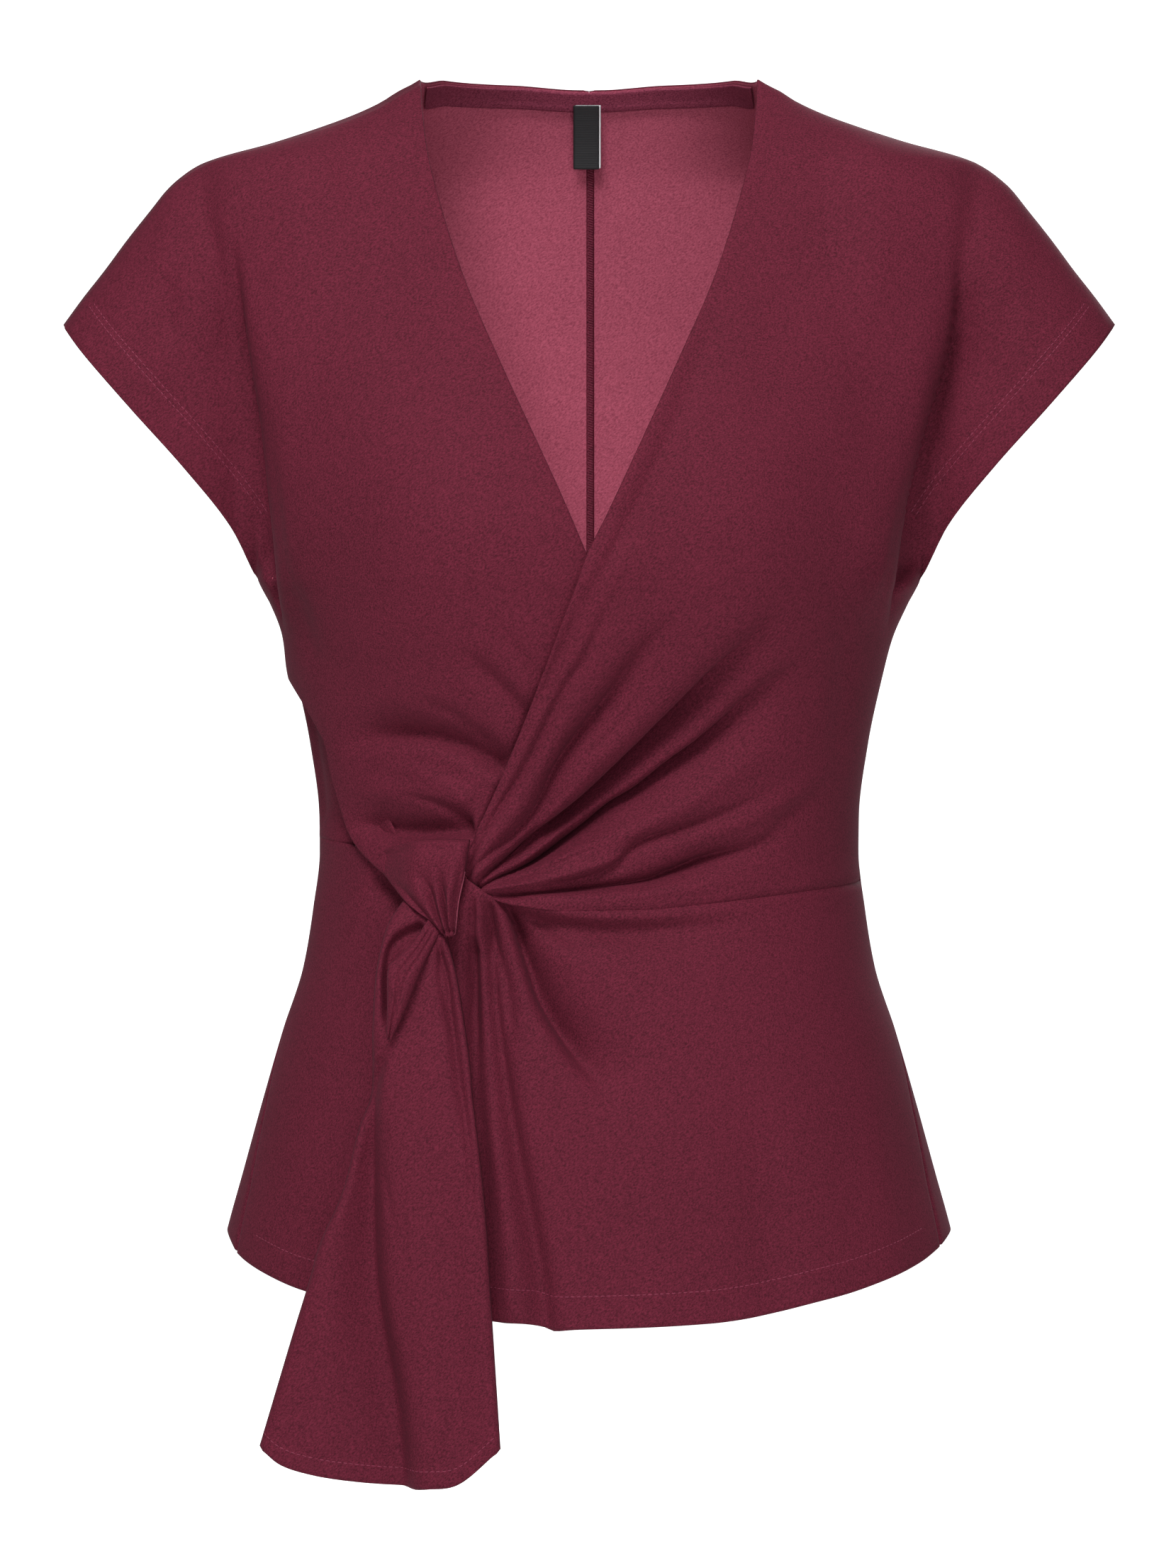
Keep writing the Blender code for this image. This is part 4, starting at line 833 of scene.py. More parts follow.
def add_node(tree: bpy.types.NodeTree, kind: str, inputs: dict, **settings: object) -> bpy.types.Node:
    """Adds a node with its settings and links.

    Args:
        tree: The tree it goes into.
        kind: The node's type name.
        inputs: A value or a socket for each input, by name or place.
        **settings: The node's own settings.

    Returns:
        The node.
    """
    node = tree.nodes.new(kind)
    for name, value in settings.items():
        setattr(node, name, value)
    for key, value in inputs.items():
        if isinstance(value, bpy.types.NodeSocket):
            tree.links.new(value, node.inputs[key])
        else:
            node.inputs[key].default_value = value
    return node


def empty_material(name: str) -> bpy.types.Material:
    """Makes a material with no nodes yet.

    Args:
        name: What the real material is.

    Returns:
        The material.
    """
    material = bpy.data.materials.new(name)
    material.use_nodes = True
    material.node_tree.nodes.clear()
    return material


@dataclass(frozen=True)
class CrepeCloth:
    """Stretch crepe: a matte knit with a fine pebbled grain that runs on the diagonal."""

    name: str
    light: Colour
    dark: Colour
    # Pebbles of about 0.4 mm are typical and weren't measured here; coarser ones are drawn, to show
    grain_mm: float
    grain_depth_mm: float
    roughness: float = 0.8
    specular: float = 0.1
    sheen: float = 0.04
    sheen_tint: Colour = Colour("b4788c")
    broad_mm: float = 60.0

    def material(self) -> bpy.types.Material:
        """Builds the material. The grain gives the eye the crepe's pebbles, and the soft sheen its fuzz.

        Returns:
            The material.
        """
        material = empty_material(self.name)
        tree = material.node_tree
        where = add_node(tree, "ShaderNodeTexCoord", {})
        turned = add_node(
            tree,
            "ShaderNodeMapping",
            {"Vector": where.outputs["Object"], "Rotation": (0.0, 0.9, 0.0), "Scale": (1.0, 1.0, 1.9)},
            vector_type="TEXTURE",
        )
        pebbles = add_node(
            tree,
            "ShaderNodeTexNoise",
            {
                "Vector": turned.outputs["Vector"],
                "Scale": 1 / (self.grain_mm * MM),
                "Detail": 1.5,
                "Roughness": 0.6,
            },
        )
        broad = add_node(
            tree,
            "ShaderNodeTexNoise",
            {"Vector": where.outputs["Object"], "Scale": 1 / (self.broad_mm * MM), "Detail": 2.0},
        )
        grain = add_node(
            tree,
            "ShaderNodeMapRange",
            {"Value": pebbles.outputs["Fac"], "From Min": 0.3, "From Max": 0.7, "To Min": 0.0, "To Max": 0.8},
        )
        tone = add_node(
            tree,
            "ShaderNodeMath",
            {0: broad.outputs["Fac"], 1: 0.2, 2: grain.outputs["Result"]},
            operation="MULTIPLY_ADD",
            use_clamp=True,
        )
        colour = add_node(
            tree,
            "ShaderNodeMix",
            {0: tone.outputs["Value"], 6: self.dark.linear(), 7: self.light.linear()},
            data_type="RGBA",
        )
        bump = add_node(
            tree,
            "ShaderNodeBump",
            {"Height": pebbles.outputs["Fac"], "Strength": 0.6, "Distance": self.grain_depth_mm * MM},
        )
        shader = add_node(
            tree,
            "ShaderNodeBsdfPrincipled",
            {
                "Base Color": colour.outputs[2],
                "Roughness": self.roughness,
                "Specular IOR Level": self.specular,
                "Sheen Weight": self.sheen,
                "Sheen Roughness": 0.45,
                "Sheen Tint": self.sheen_tint.linear(),
                "Normal": bump.outputs["Normal"],
            },
        )
        add_node(tree, "ShaderNodeOutputMaterial", {"Surface": shader.outputs["BSDF"]})
        return material


@dataclass(frozen=True)
class PlainFinish:
    """A plain finish: sewing thread or woven label tape."""

    name: str
    colour: Colour
    roughness: float
    specular: float = 0.4
    # Ribs 0.5 mm apart are typical of such tape; they weren't measured here
    rib_mm: float = 0.0
    rib_depth_mm: float = 0.12

    def material(self) -> bpy.types.Material:
        """Builds the material. Ribs, where there are any, give the eye the tape's weave.

        Returns:
            The material.
        """
        material = empty_material(self.name)
        tree = material.node_tree
        inputs = {
            "Base Color": self.colour.linear(),
            "Roughness": self.roughness,
            "Specular IOR Level": self.specular,
        }
        if self.rib_mm:
            where = add_node(tree, "ShaderNodeTexCoord", {})
            ribs = add_node(
                tree,
                "ShaderNodeTexWave",
                {"Vector": where.outputs["Object"], "Scale": 0.314 / (self.rib_mm * MM), "Distortion": 0.4},
                bands_direction="Z",
            )
            bump = add_node(
                tree,
                "ShaderNodeBump",
                {"Height": ribs.outputs["Fac"], "Strength": 0.5, "Distance": self.rib_depth_mm * MM},
            )
            inputs["Normal"] = bump.outputs["Normal"]
        shader = add_node(tree, "ShaderNodeBsdfPrincipled", inputs)
        add_node(tree, "ShaderNodeOutputMaterial", {"Surface": shader.outputs["BSDF"]})
        return material


@dataclass(frozen=True)
class StudioPaper:
    """Matte studio paper with a soft glow behind the blouse alone, so that no light wraps round the cloth."""

    colour: Colour = Colour("f4f4f4")
    glow: float = 0.85

    def material(self) -> bpy.types.Material:
        """Builds the material. The paper gives the eye an even white behind the blouse.

        Returns:
            The material.
        """
        material = empty_material("studio_paper")
        tree = material.node_tree
        where = add_node(tree, "ShaderNodeTexCoord", {})
        split = add_node(tree, "ShaderNodeSeparateXYZ", {"Vector": where.outputs["Object"]})
        aside = add_node(tree, "ShaderNodeMath", {0: split.outputs["X"]}, operation="ABSOLUTE")
        strength = self.glow
        for place, start, end in (
            (aside.outputs["Value"], 1.7, 0.95),
            (split.outputs["Z"], 1.7, 0.88),
            (split.outputs["Y"], 0.5, 1.95),
        ):
            mask = add_node(
                tree,
                "ShaderNodeMapRange",
                {"Value": place, "From Min": start, "From Max": end, "To Min": 0.0, "To Max": 1.0},
            )
            shares = {0: strength, 1: mask.outputs["Result"]}
            both = add_node(tree, "ShaderNodeMath", shares, operation="MULTIPLY")
            strength = both.outputs["Value"]
        shader = add_node(
            tree,
            "ShaderNodeBsdfPrincipled",
            {
                "Base Color": self.colour.linear(),
                "Roughness": 0.9,
                "Specular IOR Level": 0.1,
                "Emission Color": self.colour.linear(),
                "Emission Strength": strength,
            },
        )
        add_node(tree, "ShaderNodeOutputMaterial", {"Surface": shader.outputs["BSDF"]})
        return material


@dataclass(frozen=True)
class Finishes:
    """The blouse's materials, made once."""

    outside: bpy.types.Material
    # The inside finish is painted light: paler than the face, to stand in for light through the thin crepe
    # and to lift the shade inside the blouse
    inside: bpy.types.Material
    thread: bpy.types.Material
    # The binding finish is painted light: paler than the face, to lift the shade the neck band hangs in
    binding: bpy.types.Material
    tape: bpy.types.Material
    tape_lining: bpy.types.Material

    @classmethod
    def make(cls) -> "Finishes":
        """Makes the materials.

        Returns:
            The set of finishes.
        """
        finishes = (
            CrepeCloth("polyester_crepe_face", Colour("6c2336"), Colour("3a101b"), 0.62, 0.14),
            # Painted light: the inside is far paler than the face, standing in for light through the thin
            # crepe and lifting the shade inside the blouse
            CrepeCloth("polyester_crepe_back_painted_light", Colour("b85a70"), Colour("853a4d"), 0.7, 0.2, 0.85, 0.1, 0.08),
            PlainFinish("polyester_thread", Colour("7b3046"), 0.5, 0.2),
            # Painted light: the neck band is paler than the face, to lift the shade it hangs in inside the
            # back neck
            CrepeCloth("polyester_crepe_binding_painted_light", Colour("8c3e53"), Colour("541c2e"), 0.62, 0.16),
            PlainFinish("woven_label_tape", Colour("17171a"), 0.5, 0.4, 0.5),
            PlainFinish("label_tape_lining", Colour("d9d9dc"), 0.7, 0.3, 0.5),
        )
        return cls(*(finish.material() for finish in finishes))


@dataclass(frozen=True)
class Cut:
    """The flat cut of what shows of a cloth piece, in metres: its rectangle and its area."""

    width: float
    length: float
    area: float
    held: Held


@dataclass
class Shell:
    """The two sides of a piece of cloth as grids of points, and which rim points are free edges."""

    outer: Array
    inner: Array
    free: Array

    def rim(self) -> list[tuple[int, int]]:
        """Walks round the grid.

        Returns:
            The row and column of each rim point, in order.
        """
        rows, cols = self.outer.shape[:2]
        ring = [(0, c) for c in range(cols)] + [(r, cols - 1) for r in range(1, rows)]
        ring += [(rows - 1, c) for c in range(cols - 2, -1, -1)]
        return ring + [(r, 0) for r in range(rows - 2, 0, -1)]

    def mesh(self, name: str) -> bpy.types.Mesh:
        """Closes the two sides with a rim, rounded at free edges.

        Args:
            name: The mesh's name.

        Returns:
            The mesh. Its second material is the inner side's.
        """
        rows, cols = self.outer.shape[:2]
        inside = rows * cols
        ring = self.rim()
        turn = []
        for r, c in ring:
            r_in = min(max(r, 1), rows - 2)
            c_in = min(max(c, 1), cols - 2)
            way = self.outer[r, c] - self.outer[r_in, c_in]
            way = way / max(float(np.linalg.norm(way)), 1e-9)
            thick = float(np.linalg.norm(self.outer[r, c] - self.inner[r, c]))
            turn.append((self.outer[r, c] + self.inner[r, c]) / 2 + way * thick * 0.5 * self.free[r, c])
        points = np.concatenate([self.outer.reshape(-1, 3), self.inner.reshape(-1, 3), np.array(turn)]) * MM
        corner = (np.arange(rows - 1)[:, None] * cols + np.arange(cols - 1)[None, :]).reshape(-1)
        quads = np.stack([corner, corner + 1, corner + cols + 1, corner + cols], axis=1)
        faces = quads.tolist() + (inside + quads[:, ::-1]).tolist()
        flat = [r * cols + c for r, c in ring]
        for k, here in enumerate(flat):
            there = flat[(k + 1) % len(flat)]
            low = 2 * inside + k
            high = 2 * inside + (k + 1) % len(flat)
            faces.append((there, here, low, high))
            faces.append((high, low, inside + here, inside + there))
        mesh = bpy.data.meshes.new(name)
        mesh.from_pydata(points.tolist(), [], faces)
        slots = np.zeros(len(faces), np.int32)
        slots[len(quads) : 2 * len(quads)] = 1
        mesh.polygons.foreach_set("material_index", slots)
        mesh.shade_smooth()
        mesh.update()
        return self.facing_out(mesh)

    def facing_out(self, mesh: bpy.types.Mesh) -> bpy.types.Mesh:
        """Turns the faces round where the grid runs the other way.

        Args:
            mesh: The closed mesh.

        Returns:
            The mesh with its faces outward.
        """
        mesh.calc_loop_triangles()
        points = np.empty(len(mesh.vertices) * 3)
        mesh.vertices.foreach_get("co", points)
        tris = np.empty(len(mesh.loop_triangles) * 3, np.int32)
        mesh.loop_triangles.foreach_get("vertices", tris)
        corners = points.reshape(-1, 3)[tris.reshape(-1, 3)]
        if np.linalg.det(corners).sum() < 0:
            mesh.flip_normals()
        return mesh


def filled(low: Array, times: int = 3) -> Array:
    """Fills ridges that are too narrow for the inside of a wall.

    Args:
        low: Heights of the outside.
        times: How often it is smoothed.

    Returns:
        The smoothed heights, never over the outside's.
    """
    for _ in range(times):
        for axis in (0, 1):
            edge = [(0, 0), (0, 0)]
            edge[axis] = (1, 1)
            wide = np.pad(low, edge, mode="edge")
            before, after = (wide[:-2], wide[2:]) if axis == 0 else (wide[:, :-2], wide[:, 2:])
            low = np.minimum(low, 0.5 * low + 0.25 * (before + after))
    return low


def grid_normals(points: Array) -> Array:
    """Gives the way out of a grid at each of its points."""
    normal = np.cross(np.gradient(points, axis=0), np.gradient(points, axis=1))
    return normal / np.maximum(np.linalg.norm(normal, axis=-1, keepdims=True), 1e-9)


@dataclass
class ClothPiece:
    """A cut piece of cloth, which each kind of piece fills in."""

    form: GarmentForm
    finishes: Finishes

    name = "piece"
    node = "node"
    slot = Slot.CREPE
    cut = Cut(0.1, 0.1, 0.01, Held.HUNG)

    def shell(self) -> Shell:
        """Shapes the piece."""
        raise NotImplementedError

    def materials(self) -> tuple[bpy.types.Material, bpy.types.Material]:
        """Gives the finishes."""
        return self.finishes.outside, self.finishes.inside

    def on_form(
        self,
        grid: Array,
        raised: Array,
        ahead: Array | float = 0.0,
        back: Array | bool = False,
        shift: Array | None = None,
        seams: tuple = (),
        low_seams: tuple = (),
        wall: float = WALL,
    ) -> Shell:
        """Lays a grid on the form.

        Args:
            grid: Points in front view.
            raised: How far each stands out of the form.
            ahead: How far each is moved forward.
            back: True where it is the back.
            shift: Moves points in Y.
            seams: Parts of the edge that meet another piece in the side plane.
            low_seams: Parts of the edge on the peplum's side seams.
            wall: The cloth's thickness.

        Returns:
            The two sides of the cloth.
        """
        x, z = grid[..., 0], grid[..., 1]
        point, out = self.form.point(x, z, back, shift)
        gap = (GAP if np.any(back) else -GAP) / 2
        for edge in seams:
            point[edge][..., 1] = gap
        for edge in low_seams:
            ahead_by = self.form.seam_forward(z[edge])
            point[edge][..., 1] = gap - ahead_by
            point[edge][..., 0] -= 1.4 * np.sign(x[edge]) * smooth_step(0.0, 12.0, ahead_by)
        point[..., 1] -= np.maximum(ahead, -0.7 * self.form.depth(x, z, back))
        for edge in seams:
            flat = out[edge] * (1.0, 0.0, 1.0) + (0.0, 0.0, 1e-3)
            out[edge] = flat / np.linalg.norm(flat, axis=-1, keepdims=True)
        raised = np.maximum(raised, -0.5 * self.form.depth(x, z, back))
        outer = point + out * raised[..., None]
        lean = np.abs((grid_normals(outer) * out).sum(-1))
        inner = point + out * (filled(raised) - wall / np.clip(lean, 0.6, 1.0))[..., None]
        free = np.ones(x.shape)
        for edge in seams + low_seams:
            free[edge] = 0.0
        return Shell(outer, inner, free)

    def leaning(self, shell: Shell, x: Array, z: Array, folds: tuple[Fold, ...], weight: Array) -> Shell:
        """Leans the steep sides of folds over, as soft cloth does.

        Args:
            shell: The two sides.
            x: Places across.
            z: Heights.
            folds: The folds; those with no lean are left.
            weight: How much of the lean is wanted at each place.

        Returns:
            The two sides.
        """
        for fold in folds:
            if fold.lean:
                shift = fold.shift(x, z) * weight[..., None]
                for side, share in ((shell.outer, 1.0), (shell.inner, 0.2)):
                    side[..., 0] += share * shift[..., 0]
                    side[..., 2] += share * shift[..., 1]
        return shell

    def build(self) -> bpy.types.Object:
        """Makes the piece's object, which stands for its CAD node and rides on the body.

        Returns:
            The object.
        """
        mesh = self.shell().mesh(self.name)
        for material in self.materials():
            mesh.materials.append(material)
        piece = bpy.data.objects.new(self.name, mesh)
        bpy.context.scene.collection.objects.link(piece)
        if self.node:
            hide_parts(self.node)
        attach(piece, BODY)
        return piece


class LeftFront(ClothPiece):
    """The wearer's left front with its cap sleeve, gathered into the knot."""

    name = "left_front"
    node = "front_left"
    cut = Cut(0.34, 0.44, 0.092, Held.GATHERED)
    counts = ((54, 46, 96), (60, 150))

    def shell(self) -> Shell:
        """Shapes the piece.

        Returns:
            Its two sides.
        """
        form = self.form
        across = spans((0.0, 0.32, 0.54, 1.0), self.counts[0])
        along = spans((0.0, 0.40, 1.0), self.counts[1], closing)
        outer = chain(
            (path(form.shoulder_line(1)), 0.32),
            (path(SLEEVE_HEM), 0.54),
            (path(form.side_line(UNDERARM[1], WAIST_LEFT + GAP / 2, 1)), 1.0),
        )
        neck = chain((path(WRAP_EDGE[::-1]), 0.40), (path((V_POINT,) + NECKLINE[::-1]), 1.0))
        waist = form.waist_line(LEFT_GATHER[-1][0], float(form.ring(WAIST_LEFT, 1)), GAP / 2)
        gather = LEFT_GATHER[:-1] + (waist[0],)
        grid = patch(path(gather), outer, neck, path(waist), across, along, 5.0)
        x, z = grid[..., 0], grid[..., 1]
        near = edge_distance(x, z, WRAP_EDGE)
        overlap = np.exp(-((near / 26.0) ** 2)) * smooth_step(-222, -256, z)
        lying = 1 - smooth_step(0.82, 1.0, along)[:, None]
        seam = 1 - smooth_step(0.88, 1.0, across)[None, :] * smooth_step(0.0, 0.15, along)[:, None]
        raised = (5.5 * overlap + folded(x, z, LEFT_FRONT_FOLDS)) * lying * seam
        raised = raised - form.waist_dip(x, z)
        raised = raised + sleeve_relief(x, z, 1) * (1 - smooth_step(0.985, 1.0, along)[:, None])
        first, second = self.counts[0][0], self.counts[0][0] + self.counts[0][1]
        seams = ((-1, slice(0, first + 1)), (-1, slice(second, None)))
        hem = smooth_step(0.325, 0.36, across) * (1 - smooth_step(0.51, 0.538, across))
        near = 1 - smooth_step(0.84, 0.99, along)[:, None] * (1 - hem)[None, :]
        ahead = form.knot_rise(x, z) + (folded(x, z, LEFT_ARMHOLE) + form.armhole_calm(x, z)) * near
        shell = self.on_form(grid, raised, ahead, seams=seams)
        shell = self.leaning(shell, x, z, LEFT_FRONT_FOLDS, lying * seam)
        return self.leaning(shell, x, z, LEFT_ARMHOLE, near)


class RightFront(ClothPiece):
    """The wearer's right front: its neckline runs under the left front, its lower edge is a fold."""

    name = "right_front"
    node = "front_right"
    cut = Cut(0.28, 0.42, 0.075, Held.GATHERED)
    counts = ((28, 86), (56, 14, 116))

    def shell(self) -> Shell:
        """Shapes the piece.

        Returns:
            Its two sides.
        """
        form = self.form
        across = spans((0.0, 0.22, 1.0), self.counts[0], closing)
        along = spans((0.0, 0.40, 0.48, 1.0), self.counts[1])
        side = form.side_line(UNDERARM[1], FOLD_EDGE[0][1], -1, 5)
        outer = chain((path(mirrored(SLEEVE_HEM)), 0.40), (path(side), 1.0))
        under = [(x + UNDERLAP[0], z + UNDERLAP[1]) for x, z in WRAP_EDGE[1:-1]]
        under = [UNDER_V] + under + [RIGHT_GATHER[0]]
        neck = chain(
            (path(mirrored(NECKLINE) + (V_POINT,)), 0.40),
            (path((V_POINT, UNDER_V)), 0.48),
            (path(tuple(under)), 1.0),
        )
        bottom = chain((path(RIGHT_GATHER), 0.22), (path(FOLD_EDGE[::-1][:-1] + (side[-1],)), 1.0))
        grid = patch(path(form.shoulder_line(-1)), bottom, neck, outer, across, along, 2.0)
        x, z = grid[..., 0], grid[..., 1]
        depth = form.depth(x, z, False)
        lying = 1 - smooth_step(0.82, 1.0, across)[None, :]
        raised = 4.0 * np.exp(-((edge_distance(x, z, FOLD_EDGE) / 20.0) ** 2)) * smooth_step(0.0, 8.0, depth)
        raised = raised + folded(x, z, RIGHT_FRONT_FOLDS) * lying
        calm = (1 - smooth_step(0.985, 1.0, across)[None, :]) * smooth_step(0.0, 0.02, along)[:, None]
        raised = raised + sleeve_relief(x, z, -1) * calm
        wrap = path(WRAP_EDGE)(np.linspace(0, 1, 80))
        beyond = x - np.interp(-z, -wrap[:, 1], wrap[:, 0])
        tuck = 13.0 * smooth_step(-4.0, 12.0, beyond) * smooth_step(-285.0, -345.0, z)
        seams = ((0, slice(None)), (slice(self.counts[1][0], None), -1))
        hem = smooth_step(0.01, 0.05, along) * (1 - smooth_step(0.37, 0.398, along))
        near = 1 - smooth_step(0.84, 0.99, across)[None, :] * (1 - hem)[:, None]
        near = near * smooth_step(0.0, 0.04, along)[:, None]
        ahead = form.knot_rise(x, z) - tuck + (folded(x, z, RIGHT_ARMHOLE) + form.armhole_calm(x, z)) * near
        shell = self.on_form(grid, raised, ahead, seams=seams)
        return self.leaning(shell, x, z, RIGHT_ARMHOLE, near)


class UnderLayer(ClothPiece):
    """The layer between the right front's folded edge, the side seam and the waist seam."""

    name = "right_front_layer"
    node = "front_right_under"
    cut = Cut(0.08, 0.10, 0.0064, Held.HUNG)

    def shell(self) -> Shell:
        """Shapes the piece.

        Returns:
            Its two sides.
        """
        form = self.form
        across = 1 - closing(32)[::-1]
        along = np.linspace(0, 1, 56)
        side = form.side_line(UNDER_LAYER_TOP[0][1], WAIST_RIGHT + GAP / 2, -1)
        waist = form.waist_line(side[-1][0], UNDER_LAYER_INNER[-1][0], GAP / 2)
        waist[0] = side[-1]
        inner = UNDER_LAYER_INNER[:-1] + (waist[-1],)
        grid = patch(path((side[0], UNDER_LAYER_TOP[1])), path(waist), path(side), path(inner), across, along)
        x, z = grid[..., 0], grid[..., 1]
        showing = smooth_step(0.8, 1.0, along)[:, None] * smooth_step(-103.0, -111.0, x)
        sink = smooth_step(0.0, 14.0, form.depth(x, z, False))
        raised = -3.4 * sink * (1 - showing) + folded(x, z, UNDER_LAYER_FOLDS) * sink
        return self.on_form(grid, raised, form.knot_rise(x, z), seams=((slice(None), 0),))


class BackHalf(ClothPiece):
    """One half of the back bodice, from the centre back seam to the sleeve and side seam."""

    side = 1
    counts = ((38, 58), (10, 40, 62))
    cut = Cut(0.28, 0.42, 0.093, Held.HUNG)

    def shell(self) -> Shell:
        """Shapes the piece.

        Returns:
            Its two sides.
        """
        form = self.form
        side = self.side
        first = self.counts[0][0]
        across = spans((0.0, 0.34, 1.0), self.counts[0], closing)
        across[: first + 1] = 0.34 * closing(first + 1)
        along = spans((0.0, 0.05, 0.46, 1.0), self.counts[1])
        waist_side = WAIST_LEFT if side > 0 else WAIST_RIGHT
        middle = side * GAP / 2
        low = (middle, BACK_WAIST_MIDDLE + GAP / 2)
        top = chain(
            (path(((middle, 0.0), (side * form.neck_half, 0.0))), 0.34), (path(form.shoulder_line(side)), 1.0)
        )
        seam = form.side_line(UNDERARM[1], waist_side + GAP / 2, side)
        outer = chain((path(sleeve_hem(side)), 0.46), (path(seam), 1.0))
        bottom = path((low, (side * float(form.ring(waist_side, 1)), waist_side + GAP / 2)))
        grid = patch(top, bottom, path(((middle, 0.0), low)), outer, across, along)
        x, z = grid[..., 0], grid[..., 1]
        lying = (1 - smooth_step(0.85, 1.0, across))[None, :] * (1 - smooth_step(0.85, 1.0, along))[:, None]
        raised = folded(x, z, BACK_FOLDS, side) * lying * smooth_step(0.0, 0.15, across)[None, :]
        calm = (1 - smooth_step(0.985, 1.0, across)[None, :]) * smooth_step(0.0, 0.02, along)[:, None]
        raised = raised + sleeve_relief(x, z, side) * calm
        raised = raised - 0.5 * np.exp(-((x / 2.2) ** 2))
        seams = ((0, slice(first, None)), (slice(sum(self.counts[1][:2]), None), -1))
        found = self.on_form(grid, raised, back=True, seams=seams)
        for layer in (found.outer, found.inner):
            layer[..., 2] += form.neck_lift(x, z)
        found.free[:, 0] = 0.0
        return found


class LeftBack(BackHalf):
    """The wearer's left back."""

    name = "left_back"
    node = "back_left"
    side = 1


class RightBack(BackHalf):
    """The wearer's right back."""

    name = "right_back"
    node = "back_right"
    side = -1


def side_edges(form: GarmentForm, z: Array) -> tuple[tuple, tuple]:
    """Finds the parts of a peplum grid's edges that are side seams."""
    flat = [int((form.seam_forward(z[:, k]) <= 0).sum()) for k in (0, -1)]
    return ((slice(0, flat[0]), 0), (slice(0, flat[1]), -1)), ((slice(None), 0), (slice(None), -1))


PEPLUM_ALONG = ((0.0, 0.3, 1.0), (42, 76))


class FrontPeplum(ClothPiece):
    """The front of the peplum, gathered up into the knot, with a curved hem."""

    name = "front_peplum"
    node = "peplum_front"
    cut = Cut(0.40, 0.24, 0.087, Held.GATHERED)

    def shell(self) -> Shell:
        """Shapes the piece.

        Returns:
            Its two sides.
        """
        form = self.form
        across = np.linspace(0, 1, 190)
        along = spans(*PEPLUM_ALONG)
        right = form.seam_line(-1, 0.0)
        left = form.seam_line(1, 0.0)
        waist = form.waist_line(right[0][0], left[0][0], -GAP / 2, 61)
        waist[0], waist[-1] = right[0], left[0]
        hem = [(x, float(form.hem(x))) for x in np.linspace(right[-1][0], left[-1][0], 81)]
        hem[0], hem[-1] = right[-1], left[-1]
        across = 0.35 * across + 0.65 * (0.5 - 0.5 * np.cos(np.pi * across))
        grid = patch(path(waist, 640), path(hem, 640), path(right, 640), path(left, 640), across, along)
        x, z = grid[..., 0], grid[..., 1]
        lying = smooth_step(0.0, 0.08, across) * (1 - smooth_step(0.92, 1.0, across))
        raised = folded(x, z, PEPLUM_FOLDS) * lying[None, :]
        edge = z - form.hem(x)
        raised = raised + hem_relief(edge, *PEPLUM_TURN) * lying[None, :]
        raised = raised - form.waist_dip(x, z)
        hidden = smooth_step(-112.0, -103.0, x) * (1 - smooth_step(-67.0, -58.0, x))
        hidden = hidden * smooth_step(-425.0, -405.0, z)
        ahead = form.knot_rise(x, z) - 3.4 * hidden
        seams, edges = side_edges(form, z)
        shell = self.on_form(grid, raised, ahead, seams=seams, low_seams=edges)
        weight = lying[None, :] * smooth_step(0.0, 0.03, along)[:, None]
        return self.leaning(shell, x, z, PEPLUM_FOLDS, weight)


